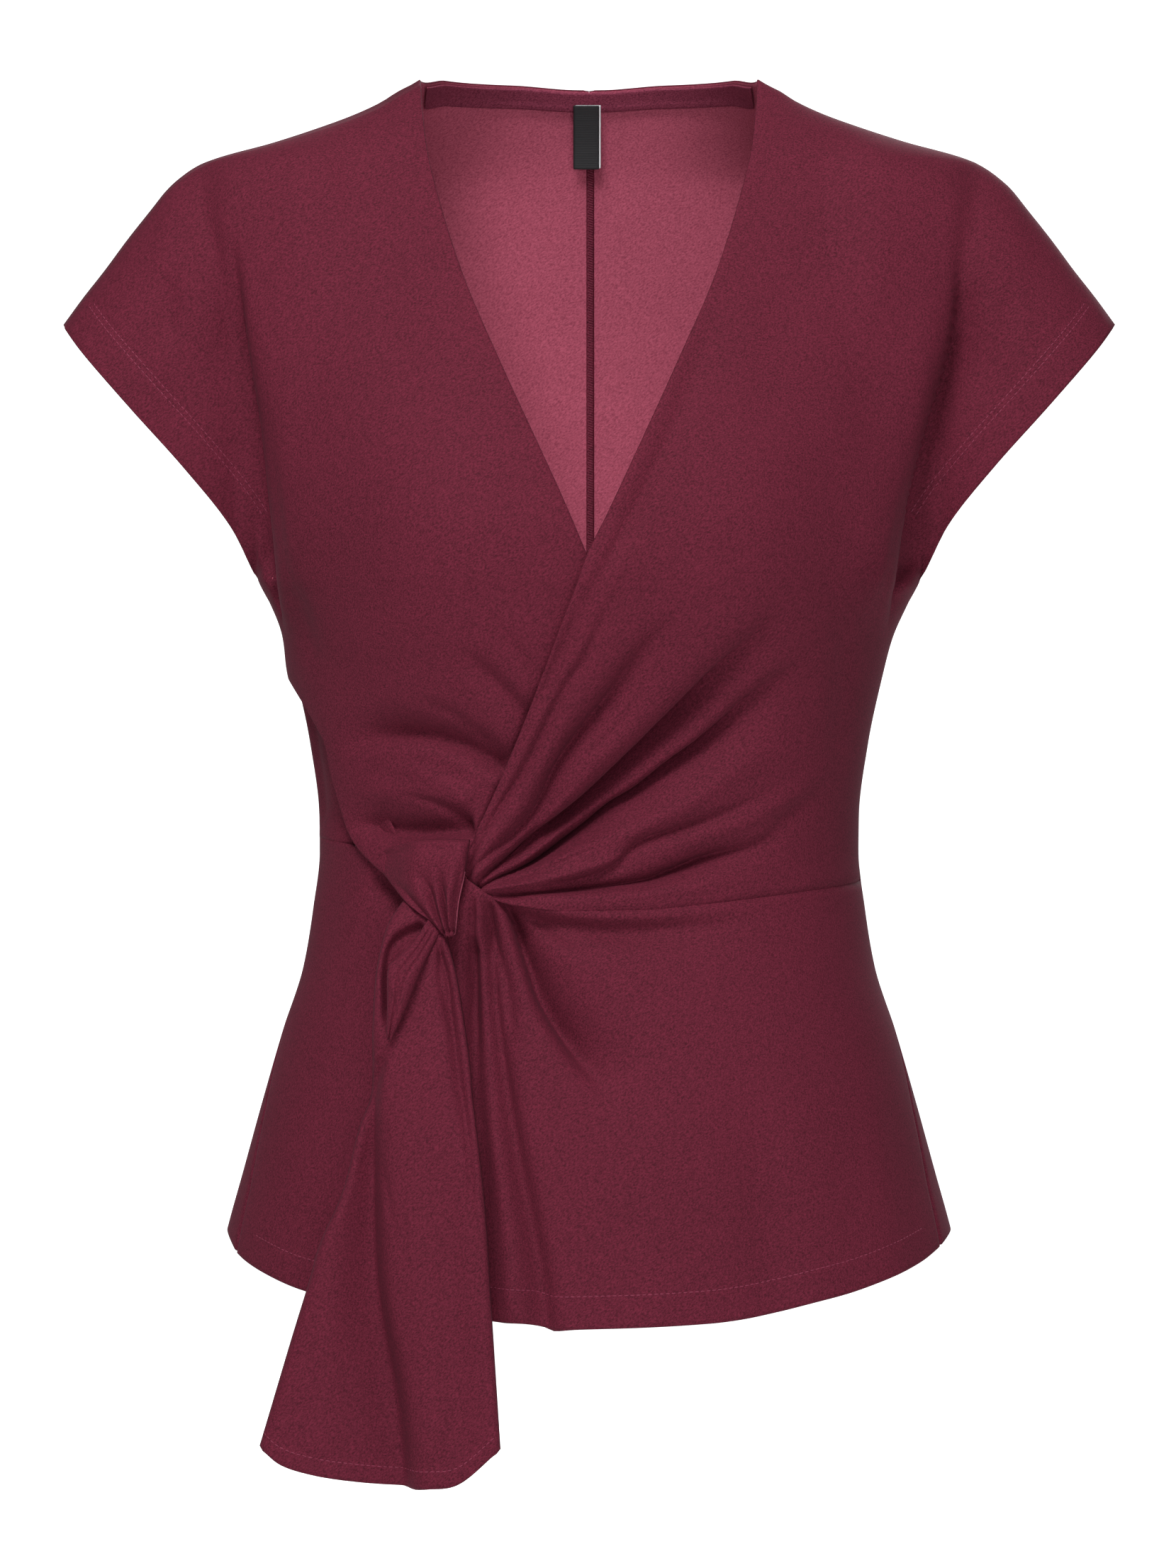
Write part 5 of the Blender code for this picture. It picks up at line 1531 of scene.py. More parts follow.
class BackPeplum(ClothPiece):
    """The back of the peplum. It wraps forward round the sides to meet the front near the hem."""

    name = "back_peplum"
    node = "peplum_back"
    cut = Cut(0.46, 0.24, 0.098, Held.HUNG)
    round_side = 14
    back_cols = 130

    def shell(self) -> Shell:
        """Shapes the piece.

        Returns:
            Its two sides.
        """
        form = self.form
        turn = self.round_side
        along = spans(*PEPLUM_ALONG)
        back_across = 0.5 - 0.5 * np.cos(np.pi * np.linspace(0, 1, self.back_cols))
        sides = []
        for side in (-1, 1):
            edge = path(form.seam_line(side, GAP), 640)(along)
            height = edge[:, 1] + (HEM[0][1] - edge[-1, 1]) * smooth_step(0.45, 1.0, along)
            silhouette = np.stack([side * form.ring(height, 1), height], axis=-1)
            shares = (1 - (1 - np.linspace(0, 1, turn + 1)) ** 2)[:-1]
            sides.append((edge[:, None] + (silhouette - edge)[:, None] * shares[None, :, None], silhouette))
        (right_strip, right_turn), (left_strip, left_turn) = sides
        waist = path((tuple(right_turn[0]), (0.0, BACK_WAIST_MIDDLE - GAP / 2), tuple(left_turn[0])))
        hem = [(x, float(form.hem(x))) for x in np.linspace(right_turn[-1][0], left_turn[-1][0], 61)]
        hem[0], hem[-1] = tuple(right_turn[-1]), tuple(left_turn[-1])
        middle = patch(
            waist,
            path(hem, 640),
            self.followed(right_turn, along),
            self.followed(left_turn, along),
            back_across,
            along,
        )
        grid = np.concatenate([right_strip, middle, left_strip[:, ::-1]], axis=1)
        back = np.zeros(grid.shape[:2], bool)
        back[:, turn:-turn] = True
        z = grid[..., 1]
        lying = smooth_step(0.0, 0.1, back_across) * (1 - smooth_step(0.9, 1.0, back_across))
        raised = np.zeros(grid.shape[:2])
        relief = hem_relief(middle[..., 1] - form.hem(middle[..., 0]), *PEPLUM_TURN)
        folds = folded(middle[..., 0], middle[..., 1], BACK_PEPLUM_FOLDS)
        raised[:, turn:-turn] = (folds + relief) * lying[None, :]
        seams, edges = side_edges(form, z)
        seams = seams + tuple((slice(None), col) for col in (turn, -turn - 1))
        shift = np.full(grid.shape[:2], GAP / 2)
        found = self.on_form(grid, raised, back=back, shift=shift, seams=seams, low_seams=edges)
        found.free[:, (turn, -turn - 1)] = 1.0
        return found

    def followed(self, turn: Array, along: Array) -> Line:
        """Makes a line that passes through a row of points at given shares.

        Args:
            turn: The points.
            along: The share of each.

        Returns:
            The line.
        """

        def at(share: Array) -> Array:
            """Evaluates the line."""
            return np.stack([np.interp(share, along, turn[:, k]) for k in (0, 1)], axis=-1)

        return at


BAND_TOP = (
    (-107.5, -395.0), (-100.7, -390.3), (-91.7, -387.6), (-83.0, -385.8), (-70.0, -385.2),
    (-58.9, -385.5),
)
BAND_POINT = ((-71.5, -431.5), (-66.0, -430.6))
BAND_LOW_EDGE = (
    (-107.5, -395.0), (-100.0, -404.3), (-91.0, -414.6), (-85.2, -419.4), (-78.6, -424.6),
    (-71.5, -431.5),
)
BAND_RIGHT_EDGE = (
    (-58.9, -385.5), (-60.3, -395.2), (-62.0, -404.0), (-64.1, -413.0), (-65.3, -424.0),
    (-66.0, -430.6),
)
BAND_FOLDS = (
    Fold(((-72, -431), (-77, -418), (-80, -408), (-87, -396)),
         -5.5, (0.9, 3.4), (1.2, 4.4), 0.02, 0.6, 1.4, 0.5),
    Fold(((-69.5, -430), (-72, -415.5), (-73.5, -406), (-74, -394)),
         -5.5, (0.8, 2.6), (1.1, 3.4), 0.02, 0.6, 1.4, 0.5),
    Fold(((-67.5, -430), (-66.5, -415.5), (-64, -403.5), (-61, -392)),
         -4.5, (0.8, 1.8), (0.9, 2.2), 0.02, 0.5, 1.5, 0.5),
    Fold(((-73, -431), (-82, -421), (-90, -412), (-99, -403)),
         -3.4, (0.9, 2.6), (1.0, 3.0), 0.02, 0.6, 1.5, 0.5),
    Fold(((-70.5, -429), (-74.5, -414), (-77, -402)), 2.0, (1.0, 2.2), (1.0, 2.2), 0.05, 0.6),
    Fold(((-68.5, -429), (-69, -414), (-69, -400)), 2.0, (1.0, 2.0), (1.0, 2.0), 0.05, 0.6),
    Fold(((-73, -429), (-80, -415), (-86, -405)), 1.6, (1.0, 2.6), (1.0, 2.6), 0.05, 0.6),
    Fold(((-106, -396), (-96, -391.5), (-80, -389), (-62, -389)), -1.6, (2.0, 2.0), (3.0, 4.0), 0.2, 0.2),
)


class KnotBand(ClothPiece):
    """The cloth that wraps over the knot and gathers to a point below it."""

    name = "knot"
    node = "knot_band"
    cut = Cut(0.055, 0.05, 0.0021, Held.GATHERED)

    def shell(self) -> Shell:
        """Shapes the piece.

        Returns:
            Its two sides.
        """
        across = np.linspace(0, 1, 72)
        along = np.linspace(0, 1, 62)
        sides = (path(BAND_LOW_EDGE), path(BAND_RIGHT_EDGE))
        grid = patch(path(BAND_TOP), path(BAND_POINT), *sides, across, along)
        x, z = grid[..., 0], grid[..., 1]
        ahead = 4.2 + 20.8 * smooth_step(-107.5, -84.0, x)
        top = np.clip(1 - along / 0.28, 0, 1)[:, None] * smooth_step(0.0, 0.3, across)[None, :]
        right = np.clip((across - 0.8) / 0.2, 0, 1)[None, :] * np.ones_like(x)
        ahead = ahead - 6.0 * (1 - np.sqrt(1 - 0.98 * top**4)) - 7.0 * (1 - np.sqrt(1 - 0.98 * right**2))
        return self.on_form(grid, folded(x, z, BAND_FOLDS), ahead)


# Height, left edge, right edge and how far forward each of them hangs
TIE_ROWS = (
    (-412.0, -89.0, -74.0, -96.0, -102.5), (-425.6, -97.9, -72.5, -104.5, -106.0),
    (-440.0, -102.0, -68.1, -111.0, -113.0), (-455.0, -104.4, -64.5, -114.5, -117.0),
    (-477.0, -105.5, -60.9, -118.0, -121.0), (-495.0, -105.5, -58.4, -120.0, -124.0),
    (-511.0, -106.5, -57.1, -121.5, -126.0), (-527.7, -112.5, -55.0, -122.0, -128.5),
    (-557.0, -120.0, -51.6, -122.5, -132.0), (-582.4, -131.0, -49.6, -123.0, -134.5),
    (-600.0, -136.0, -48.6, -123.3, -136.0), (-631.0, -145.5, -46.6, -124.0, -138.5),
    (-680.0, -160.0, -43.4, -127.0, -140.0),
)
TIE_BOTTOM = (
    (-160.0, -680.0), (-150.0, -688.5), (-133.5, -693.6), (-112.0, -697.0), (-94.0, -699.0),
    (-78.0, -699.4), (-62.5, -696.5), (-43.4, -680.0),
)
TIE_FOLDS = (
    Fold(((-96, -480), (-104.6, -510), (-105.3, -571), (-103.5, -604), (-99, -631), (-93.6, -661),
          (-90, -700)),
         -10.0, (2.2, 4.0), (8.0, 30.0), 0.12, 0.0, 1.6),
    Fold(((-74, -436), (-69, -455), (-66, -480), (-58, -545)),
         -4.5, (1.6, 4.0), (1.6, 5.0), 0.1, 0.4, 1.6, 0.4),
    Fold(((-98, -500), (-104, -540), (-104, -600), (-97, -650), (-90, -700)),
         -5.0, (5.0, 8.0), (10.0, 18.0), 0.2, 0.0),
    Fold(((-62, -500), (-58, -540), (-57, -580)), -2.0, (2.0, 2.6), (2.0, 2.6), 0.3, 0.4),
    Fold(((-80, -427), (-97, -440), (-98, -480)), -7.0, (6.0, 5.0), (3.0, 2.5), 0.05, 0.2),
    Fold(((-101.5, -538), (-97, -564), (-96, -578)), -1.6, (1.6, 1.6), (2.0, 2.0), 0.3, 0.4, 1.6),
    Fold(((-72, -433), (-73, -451), (-70, -466), (-66, -485)), -2.4, (1.6, 2.6), (1.6, 2.6), 0.2, 0.4, 1.6),
    Fold(((-88, -500), (-86, -560), (-80, -620), (-76, -690)), 1.6, (6.0, 9.0), (6.0, 9.0), 0.3, 0.1),
    Fold(((-70, -520), (-68, -580), (-64, -640), (-62, -690)), -1.6, (5.0, 8.0), (5.0, 8.0), 0.4, 0.1),
    Fold(((-118, -560), (-124, -600), (-130, -650), (-134, -690)), 1.4, (6.0, 9.0), (6.0, 9.0), 0.4, 0.1),
)


class TieEnd(ClothPiece):
    """The wide tie end that hangs from the knot past the hem."""

    name = "tie"
    node = "tie_end"
    cut = Cut(0.12, 0.29, 0.022, Held.HUNG)

    def shell(self) -> Shell:
        """Shapes the piece.

        Returns:
            Its two sides.
        """
        heights = column(TIE_ROWS, 0)
        left = path(tuple((row[1], row[0]) for row in TIE_ROWS), 640)
        right = path(tuple((row[2], row[0]) for row in TIE_ROWS), 640)
        across = np.linspace(0, 1, 68)
        along = np.linspace(0, 1, 168)
        top = path(((TIE_ROWS[0][1], heights[0]), (TIE_ROWS[0][2], heights[0])))
        grid = patch(top, path(TIE_BOTTOM, 640), left, right, across, along)
        x, z = grid[..., 0], grid[..., 1]
        near = curve_through(-heights, column(TIE_ROWS, 3))(-z)
        far = curve_through(-heights, column(TIE_ROWS, 4))(-z)
        y = near + (far - near) * across[None, :]
        bottom = path(TIE_BOTTOM, 640)(across)
        edge = z - bottom[None, :, 1]
        folds = folded(x, z, TIE_FOLDS) + hem_relief(edge, *TIE_TURN)
        width = (grid[:, -1, 0] - grid[:, 0, 0])[:, None]
        for reach, depth, gone in ((5.0, 4.0, across[None, :]), (4.0, 3.0, 1 - across[None, :])):
            near_edge = np.clip(1 - gone * width / reach, 0, 1)
            folds = folds - depth * (1 - np.sqrt(1 - 0.98 * near_edge**2))
        outer = np.stack([x, y - folds, z], axis=-1)
        lean = np.abs(grid_normals(outer)[..., 1])
        inner = np.stack([x, y - (filled(folds) - WALL / np.clip(lean, 0.5, 1.0)), z], axis=-1)
        return Shell(outer, inner, np.ones(x.shape))


TWIST_LEFT = (
    (-78.8, -424.5), (-86.1, -435.3), (-93.4, -442.5), (-97.9, -448.0), (-98.3, -463.3),
    (-98.6, -481.0),
)
TWIST_RIGHT = (
    (-72.5, -428.8), (-78.8, -441.8), (-84.4, -454.3), (-87.8, -463.3), (-92.0, -473.3),
    (-96.6, -482.6),
)
TWIST_FORWARD = ((0.0, 109.3), (0.12, 112.5), (0.3, 118.5), (0.55, 122.8), (1.0, 124.2))


class TieTwist(ClothPiece):
    """The leaf of the tie that turns over below the knot."""

    name = "tie_leaf"
    node = "tie_twist"
    cut = Cut(0.02, 0.062, 0.00076, Held.FOLDED)

    def shell(self) -> Shell:
        """Shapes the piece.

        Returns:
            Its two sides.
        """
        across = np.linspace(0, 1, 30)
        along = np.linspace(0, 1, 60)
        top = path((TWIST_LEFT[0], TWIST_RIGHT[0]))
        tip = path((TWIST_LEFT[-1], TWIST_RIGHT[-1]))
        grid = patch(top, tip, path(TWIST_LEFT), path(TWIST_RIGHT), across, along)
        forward = curve_through(column(TWIST_FORWARD, 0), column(TWIST_FORWARD, 1))(along)
        crown = np.sin(np.pi * across)[None, :] ** 0.6 * np.sin(np.pi * np.clip(along, 0, 1))[:, None] ** 0.6
        bulge = 4.5 * crown - 1.5
        shares = (
            across[None, :] - 0.36 - 0.1 * along[:, None],
            across[None, :] - 0.68 + 0.08 * along[:, None],
        )
        for share, deep in zip(shares, (1.5, 1.1)):
            bulge = bulge - deep * np.exp(-((share / 0.09) ** 2)) * smooth_step(0.0, 0.1, along)[:, None]
        outer = np.stack([grid[..., 0], -(forward[:, None] + bulge), grid[..., 1]], axis=-1)
        return Shell(outer, outer + (0.0, WALL, 0.0), np.ones(outer.shape[:2]))


class NeckBand(ClothPiece):
    """The turned band along the inside of the back neck."""

    name = "neck_binding"
    node = "neck_band"
    cut = Cut(0.185, 0.012, 0.0021, Held.FOLDED)
    counts = (13, 150)
    reach = 84.0
    height = 8.6
    wall = 1.0
    under = 2.3

    def materials(self) -> tuple[bpy.types.Material, bpy.types.Material]:
        """Gives the finishes."""
        return self.finishes.binding, self.finishes.binding

    def shell(self) -> Shell:
        """Shapes the piece.

        Returns:
            Its two sides.
        """
        rows, cols = self.counts
        share = np.linspace(0, 1, rows)[:, None]
        x = np.linspace(-self.reach, self.reach, cols)[None, :] * (1 + 0.02 * share)
        z = -0.3 - (self.height - 0.3) * share * np.ones((1, cols))
        point, out = self.form.point(x, z, True)
        point[..., 2] += self.form.neck_lift(x, z)
        lying = self.under + 0.25 * np.exp(-(((z + 6.8) / 0.6) ** 2))[..., None]
        return Shell(point - out * (lying + self.wall), point - out * self.under, np.ones(x.shape))


class NeckLabel(ClothPiece):
    """The folded neck label, blank, hanging from the band at the centre back."""

    name = "neck_label"
    node = "label"
    slot = Slot.LABEL_TAPE
    cut = Cut(0.013, 0.04, 0.0005, Held.FOLDED)
    counts = (36, 14)
    width = 13.0
    length = 31.0
    top = -4.0
    wall = 0.5
    deeper = 0.5
    aside = -1.5

    def materials(self) -> tuple[bpy.types.Material, bpy.types.Material]:
        """Gives the finishes."""
        return self.finishes.tape, self.finishes.tape

    def shell(self) -> Shell:
        """Shapes the piece.

        Returns:
            Its two sides.
        """
        rows, cols = self.counts
        share = np.linspace(0, 1, rows)[:, None]
        x = np.linspace(-self.width / 2, self.width / 2, cols)[None, :] * np.ones((rows, 1)) + self.aside
        z = self.top - self.length * share * np.ones((1, cols))
        point, out = self.form.point(x, z, True)
        lying = 3.7 + self.deeper + 2.2 * share[..., None] ** 1.5
        return Shell(point - out * (lying + self.wall), point - out * lying, np.ones(x.shape))


class LabelUnder(NeckLabel):
    """The label's pale under layer, of which a thin edge shows."""

    name = "neck_label_under"
    node = ""
    length = 30.6
    wall = 0.3
    deeper = 0.15
    aside = -0.5

    def materials(self) -> tuple[bpy.types.Material, bpy.types.Material]:
        """Gives the finishes."""
        return self.finishes.tape_lining, self.finishes.tape_lining


class BackSeam(ClothPiece):
    """The seam allowance of the centre back, pressed to one side and overlocked."""

    name = "back_seam_allowance"
    node = ""
    counts = (200, 12)
    left = -1.3
    right = 2.6

    def shell(self) -> Shell:
        """Shapes the piece.

        Returns:
            Its two sides.
        """
        rows, cols = self.counts
        share = np.linspace(0, 1, rows)[:, None]
        x = np.linspace(self.left, self.right, cols)[None, :] * np.ones((rows, 1))
        z = -9.0 - (9.0 + BACK_WAIST_MIDDLE + 2.0) * -share * np.ones((1, cols)) - 2.0 * share
        point, out = self.form.point(x, z, True)
        ridge = 0.5 * np.sin(np.pi * np.linspace(0, 1, cols))[None, :, None] ** 0.5
        raised = 1.15 + ridge
        return Shell(point - out * (raised + 0.5), point - out * 1.1, np.ones(x.shape))


@dataclass(frozen=True)
class StitchStyle:
    """The size of one stitch and how far apart they are, in millimetres."""

    pitch: float = 2.9
    length: float = 2.3
    thread: float = 0.5
    sunk: float = 0.08
    slant: float = 0.0


@dataclass(frozen=True)
class StitchRow:
    """A row of stitches on a piece, each a small bead of thread laid by Geometry Nodes."""

    name: str
    line: Points
    seen: Seen
    style: StitchStyle

    def found(self, cloth: bpy.types.Object) -> tuple[Array, Array, Array]:
        """Follows the line on the cloth.

        Args:
            cloth: The piece that it is sewn on.

        Returns:
            Where each stitch is, the way it runs and the way out of the cloth.
        """
        data = cloth.data
        tree = BVHTree.FromPolygons([v.co for v in data.vertices], [p.vertices for p in data.polygons])
        points = path(self.line)(np.linspace(0, 1, 400)) * MM
        places = []
        ways = []
        start = 0.0 if self.name.startswith("inside") else -self.seen.value
        for x, z in points:
            place, way, _, _ = tree.ray_cast(Vector((x, start, z)), Vector((0.0, self.seen.value, 0.0)))
            if place is not None:
                places.append(tuple(place))
                ways.append(tuple(way))
        places = np.array(places)
        ways = np.array(ways)
        ways *= np.where(ways[:, 1:2] * self.seen.value > 0, -1.0, 1.0)
        length = np.concatenate([[0], np.cumsum(np.linalg.norm(np.diff(places, axis=0), axis=1))]) / MM
        stops = np.arange(self.style.pitch / 2, length[-1], self.style.pitch)
        at = np.stack([np.interp(stops, length, places[:, k]) for k in range(3)], axis=-1)
        out = np.stack([np.interp(stops, length, ways[:, k]) for k in range(3)], axis=-1)
        ahead = np.gradient(at, axis=0)
        ahead /= np.linalg.norm(ahead, axis=1, keepdims=True)
        ahead = ahead * np.cos(self.style.slant) + np.cross(out, ahead) * np.sin(self.style.slant)
        return at - out * self.style.sunk * MM, ahead, out


def stitch_tree(style: StitchStyle, material: bpy.types.Material, seed: int) -> bpy.types.NodeTree:
    """Makes the node tree that lays a bead of thread at each point.

    Args:
        style: The stitch's size.
        material: The thread's finish.
        seed: Fixes the small differences between stitches.

    Returns:
        The tree.
    """
    tree = bpy.data.node_groups.new("stitches", "GeometryNodeTree")
    face = tree.interface
    face.new_socket("Geometry", in_out="INPUT", socket_type="NodeSocketGeometry")
    face.new_socket("Thread", in_out="INPUT", socket_type="NodeSocketFloat").default_value = 0.0002
    face.new_socket("Geometry", in_out="OUTPUT", socket_type="NodeSocketGeometry")
    start = add_node(tree, "NodeGroupInput", {})
    ahead = add_node(tree, "GeometryNodeInputNamedAttribute", {"Name": "ahead"}, data_type="FLOAT_VECTOR")
    out = add_node(tree, "GeometryNodeInputNamedAttribute", {"Name": "out"}, data_type="FLOAT_VECTOR")
    turn = add_node(
        tree,
        "FunctionNodeAxesToRotation",
        {"Primary Axis": ahead.outputs["Attribute"], "Secondary Axis": out.outputs["Attribute"]},
        primary_axis="X",
        secondary_axis="Z",
    )
    bead = add_node(tree, "GeometryNodeMeshIcoSphere", {"Radius": 1.0, "Subdivisions": 2})
    size = add_node(
        tree,
        "ShaderNodeCombineXYZ",
        {"X": style.length / 2 * MM, "Y": start.outputs["Thread"], "Z": start.outputs["Thread"]},
    )
    sized = add_node(
        tree, "GeometryNodeTransform", {"Geometry": bead.outputs["Mesh"], "Scale": size.outputs["Vector"]}
    )
    vary = add_node(
        tree,
        "FunctionNodeRandomValue",
        {0: (0.9, 0.85, 0.85), 1: (1.06, 1.1, 1.1), "Seed": seed},
        data_type="FLOAT_VECTOR",
    )
    laid = add_node(
        tree,
        "GeometryNodeInstanceOnPoints",
        {
            "Points": start.outputs["Geometry"],
            "Instance": sized.outputs["Geometry"],
            "Rotation": turn.outputs["Rotation"],
            "Scale": vary.outputs["Value"],
        },
    )
    real = add_node(tree, "GeometryNodeRealizeInstances", {"Geometry": laid.outputs["Instances"]})
    smooth = add_node(tree, "GeometryNodeSetShadeSmooth", {"Geometry": real.outputs["Geometry"]})
    dressed = add_node(
        tree, "GeometryNodeSetMaterial", {"Geometry": smooth.outputs["Geometry"], "Material": material}
    )
    add_node(tree, "NodeGroupOutput", {0: dressed.outputs["Geometry"]})
    return tree


def sew(
    name: str, cloth: bpy.types.Object, rows: list[StitchRow], thread: bpy.types.Material, seed: int
) -> bpy.types.Object:
    """Sews rows of stitches on a piece as one object.

    Args:
        name: The new object's name.
        cloth: The piece they are on.
        rows: The rows, all in one style.
        thread: The thread's finish.
        seed: Fixes the small differences between stitches.

    Returns:
        The object.
    """
    found = [row.found(cloth) for row in rows]
    at, ahead, out = (np.concatenate([f[k] for f in found]) for k in range(3))
    mesh = bpy.data.meshes.new(name)
    mesh.from_pydata(at.tolist(), [], [])
    for key, values in (("ahead", ahead), ("out", out)):
        attribute = mesh.attributes.new(key, "FLOAT_VECTOR", "POINT")
        attribute.data.foreach_set("vector", values.astype(np.float32).ravel())
    guide = bpy.data.objects.new(name + "_guide", mesh)
    bpy.context.scene.collection.objects.link(guide)
    tree = stitch_tree(rows[0].style, thread, seed)
    modifier = guide.modifiers.new("stitches", "NODES")
    modifier.node_group = tree
    key = next(item.identifier for item in tree.interface.items_tree if item.name == "Thread")
    modifier[key] = rows[0].style.thread / 2 * MM
    graph = bpy.context.evaluated_depsgraph_get()
    made = bpy.data.meshes.new_from_object(guide.evaluated_get(graph), depsgraph=graph)
    made.name = name
    bpy.data.objects.remove(guide, do_unlink=True)
    piece = bpy.data.objects.new(name, made)
    bpy.context.scene.collection.objects.link(piece)
    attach(piece, BODY)
    LOG.info("%s: %d stitches", name, len(at))
    return piece


@dataclass(frozen=True)
class Stitching:
    """The blouse's visible stitching."""

    finishes: Finishes
    form: GarmentForm
    twin: StitchStyle = StitchStyle()
    overlock: StitchStyle = StitchStyle(1.3, 3.4, 0.3, 0.02, 1.25)
    needle: StitchStyle = StitchStyle(2.2, 1.8, 0.32, 0.02)

    def sleeve_rows(self, side: int, seen: Seen) -> list[StitchRow]:
        """Makes the twin rows round a sleeve's hem.

        Args:
            side: 1 for the wearer's left, -1 for the right.
            seen: The side they are seen from.

        Returns:
            The rows.
        """
        rows = []
        edge = path(SLEEVE_HEM)(np.linspace(0.0, 1.0, 60))
        ahead = np.gradient(edge, axis=0)
        ahead /= np.linalg.norm(ahead, axis=1, keepdims=True)
        inward = np.stack([ahead[:, 1], -ahead[:, 0]], axis=-1)
        for distance in SLEEVE_TURN[1]:
            # The last points run into the underarm seam
            keep = (edge + inward * distance)[1:-9]
            rows.append(StitchRow("sleeve", tuple((side * x, z) for x, z in keep), seen, self.twin))
        return rows

    def hem_row(self, seen: Seen, reach: tuple[float, float]) -> StitchRow:
        """Makes the row above the peplum's hem."""
        line = tuple((float(x), float(self.form.hem(x)) + PEPLUM_TURN[1][0]) for x in np.linspace(*reach, 60))
        return StitchRow("hem", line, seen, self.twin)

    def seam_row(self, x: float, style: StitchStyle) -> StitchRow:
        """Makes a row down the inside of the centre back seam."""
        return StitchRow("inside_seam", ((x, -12.0), (x, -200.0), (x, -392.0)), Seen.FRONT, style)

    def tie_row(self) -> StitchRow:
        """Makes the row above the tie's end."""
        line = path(TIE_BOTTOM)(np.linspace(0.02, 0.98, 40)) + (0.0, TIE_TURN[1][0])
        return StitchRow("tie", tuple(map(tuple, line.tolist())), Seen.FRONT, self.twin)

    def sew_all(self, pieces: dict[str, bpy.types.Object]) -> dict[str, list[bpy.types.Object]]:
        """Sews every row.

        Args:
            pieces: The cloth pieces by name.

        Returns:
            The stitching on each piece, by the piece's name.
        """
        thread = self.finishes.thread
        jobs = (
            ("left_front", "left_sleeve_stitches", self.sleeve_rows(1, Seen.FRONT)),
            ("right_front", "right_sleeve_stitches", self.sleeve_rows(-1, Seen.FRONT)),
            ("left_back", "left_sleeve_back_stitches", self.sleeve_rows(1, Seen.BACK)),
            ("right_back", "right_sleeve_back_stitches", self.sleeve_rows(-1, Seen.BACK)),
            ("front_peplum", "front_hem_stitches", [self.hem_row(Seen.FRONT, (-166.0, 166.0))]),
            ("back_peplum", "back_hem_stitches", [self.hem_row(Seen.BACK, (-172.0, 172.0))]),
            ("tie", "tie_hem_stitches", [self.tie_row()]),
            ("back_seam_allowance", "back_overlock", [self.seam_row(0.8, self.overlock)]),
            ("back_seam_allowance", "back_overlock_needle", [self.seam_row(-0.6, self.needle)]),
        )
        made = {}
        for seed, (cloth, name, rows) in enumerate(jobs):
            made.setdefault(cloth, []).append(sew(name, pieces[cloth], rows, thread, seed))
        return made


@dataclass(frozen=True)
class Lamp:
    """A soft square light that faces the blouse: its power in watts, and its side and place in metres."""

    name: str
    power: float
    size: float
    at: tuple[float, float, float]

    def build(self) -> None:
        """Adds the light."""
        data = bpy.data.lights.new(self.name, "AREA")
        data.energy = self.power
        data.size = self.size
        lamp = bpy.data.objects.new(self.name, data)
        lamp.location = self.at
        ahead = Vector((0.0, 0.0, -0.35)) - Vector(self.at)
        lamp.rotation_euler = ahead.to_track_quat("-Z", "Y").to_euler()
        bpy.context.scene.collection.objects.link(lamp)


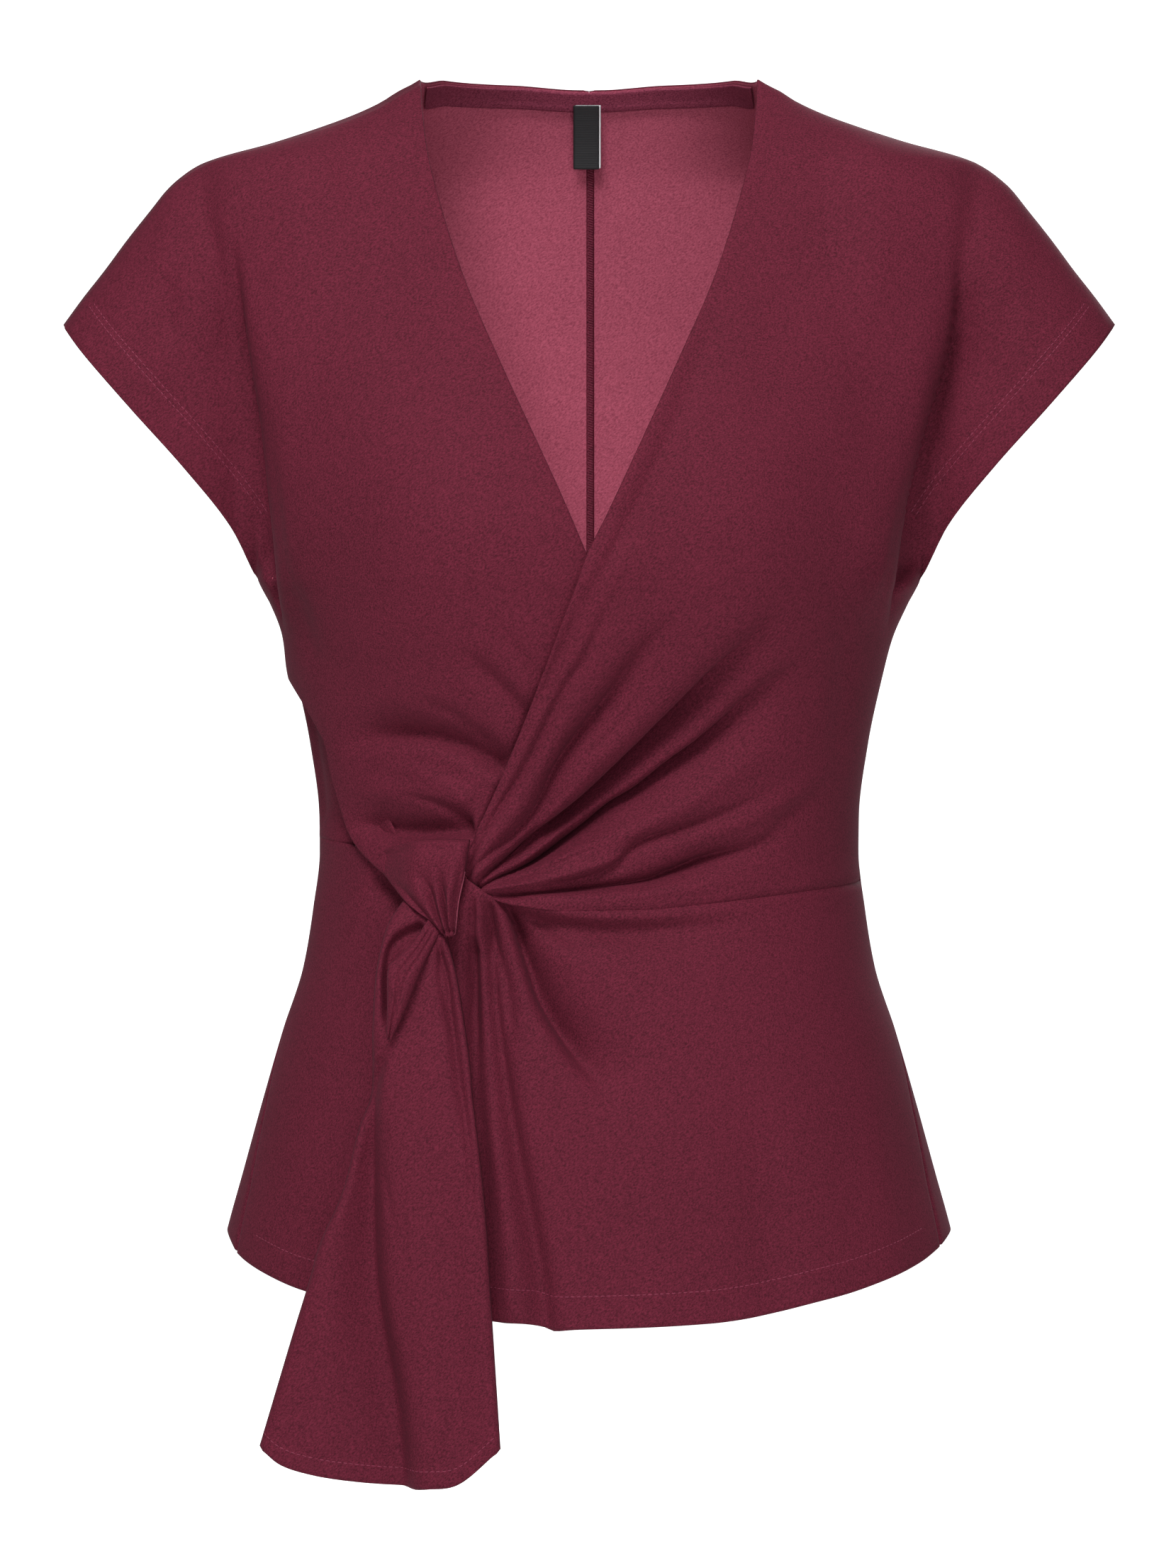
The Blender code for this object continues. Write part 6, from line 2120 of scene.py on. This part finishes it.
@dataclass(frozen=True)
class Studio:
    """A pale floor that curves up behind, soft lights and the camera at the photo's angle."""

    floor_z: float = -1.02
    lamps: tuple[Lamp, ...] = (
        Lamp("key", 80.0, 1.1, (-0.5, -1.9, 1.9)),
        Lamp("fill", 25.0, 1.8, (0.5, -2.8, -0.3)),
        Lamp("top", 5.0, 1.6, (0.0, -0.4, 1.7)),
        Lamp("back", 55.0, 1.8, (0.8, 2.7, 1.3)),
    )
    world: float = 0.2
    camera_at: tuple[float, float, float] = (-0.00054, -3.0, -0.3578)
    lens: float = 135.62

    def floor(self) -> None:
        """Makes the floor, which turns up into a wall well behind the blouse."""
        turn = np.linspace(0, np.pi / 2, 24)
        front, bend, radius, top = -4.0, 4.6, 1.2, 5.0
        run = [(front, self.floor_z)]
        run += [(bend + radius * np.sin(a), self.floor_z + radius * (1 - np.cos(a))) for a in turn]
        run += [(bend + radius, top)]
        points = [(x, float(y), float(z)) for y, z in run for x in (-5.0, 5.0)]
        faces = [(2 * k, 2 * k + 1, 2 * k + 3, 2 * k + 2) for k in range(len(run) - 1)]
        mesh = bpy.data.meshes.new("floor")
        mesh.from_pydata(points, [], faces)
        mesh.shade_smooth()
        mesh.materials.append(StudioPaper().material())
        floor = bpy.data.objects.new("floor", mesh)
        bpy.context.scene.collection.objects.link(floor)

    def build(self) -> None:
        """Sets up the studio."""
        scene = bpy.context.scene
        self.floor()
        for lamp in self.lamps:
            lamp.build()
        world = bpy.data.worlds.new("studio")
        world.use_nodes = True
        back = world.node_tree.nodes["Background"]
        back.inputs["Color"].default_value = (1.0, 1.0, 1.0, 1.0)
        back.inputs["Strength"].default_value = self.world
        scene.world = world
        scene.view_settings.view_transform = "Standard"
        data = bpy.data.cameras.new("camera")
        data.sensor_width = 36.0
        data.lens = self.lens
        camera = bpy.data.objects.new("camera", data)
        camera.location = self.camera_at
        camera.rotation_euler = (np.pi / 2, 0.0, 0.0)
        scene.collection.objects.link(camera)
        scene.camera = camera


def main() -> None:
    """Builds the blouse, its stitching and the studio."""
    logging.basicConfig(level=logging.INFO, format="%(message)s")
    form = GarmentForm()
    finishes = Finishes.make()
    kinds = (
        LeftFront,
        RightFront,
        UnderLayer,
        LeftBack,
        RightBack,
        FrontPeplum,
        BackPeplum,
        KnotBand,
        TieEnd,
        TieTwist,
        NeckBand,
        NeckLabel,
        LabelUnder,
        BackSeam,
    )
    pieces = {}
    for kind in kinds:
        piece = kind(form, finishes).build()
        pieces[kind.name] = piece
        LOG.info("%s: %d faces", piece.name, len(piece.data.polygons))
    sewn = Stitching(finishes, form).sew_all(pieces)
    sewn["left_back"] += [pieces["back_seam_allowance"]] + sewn.pop("back_seam_allowance")
    sewn["neck_label"] = [pieces["neck_label_under"]]
    Studio().build()


if __name__ == "__main__":
    main()
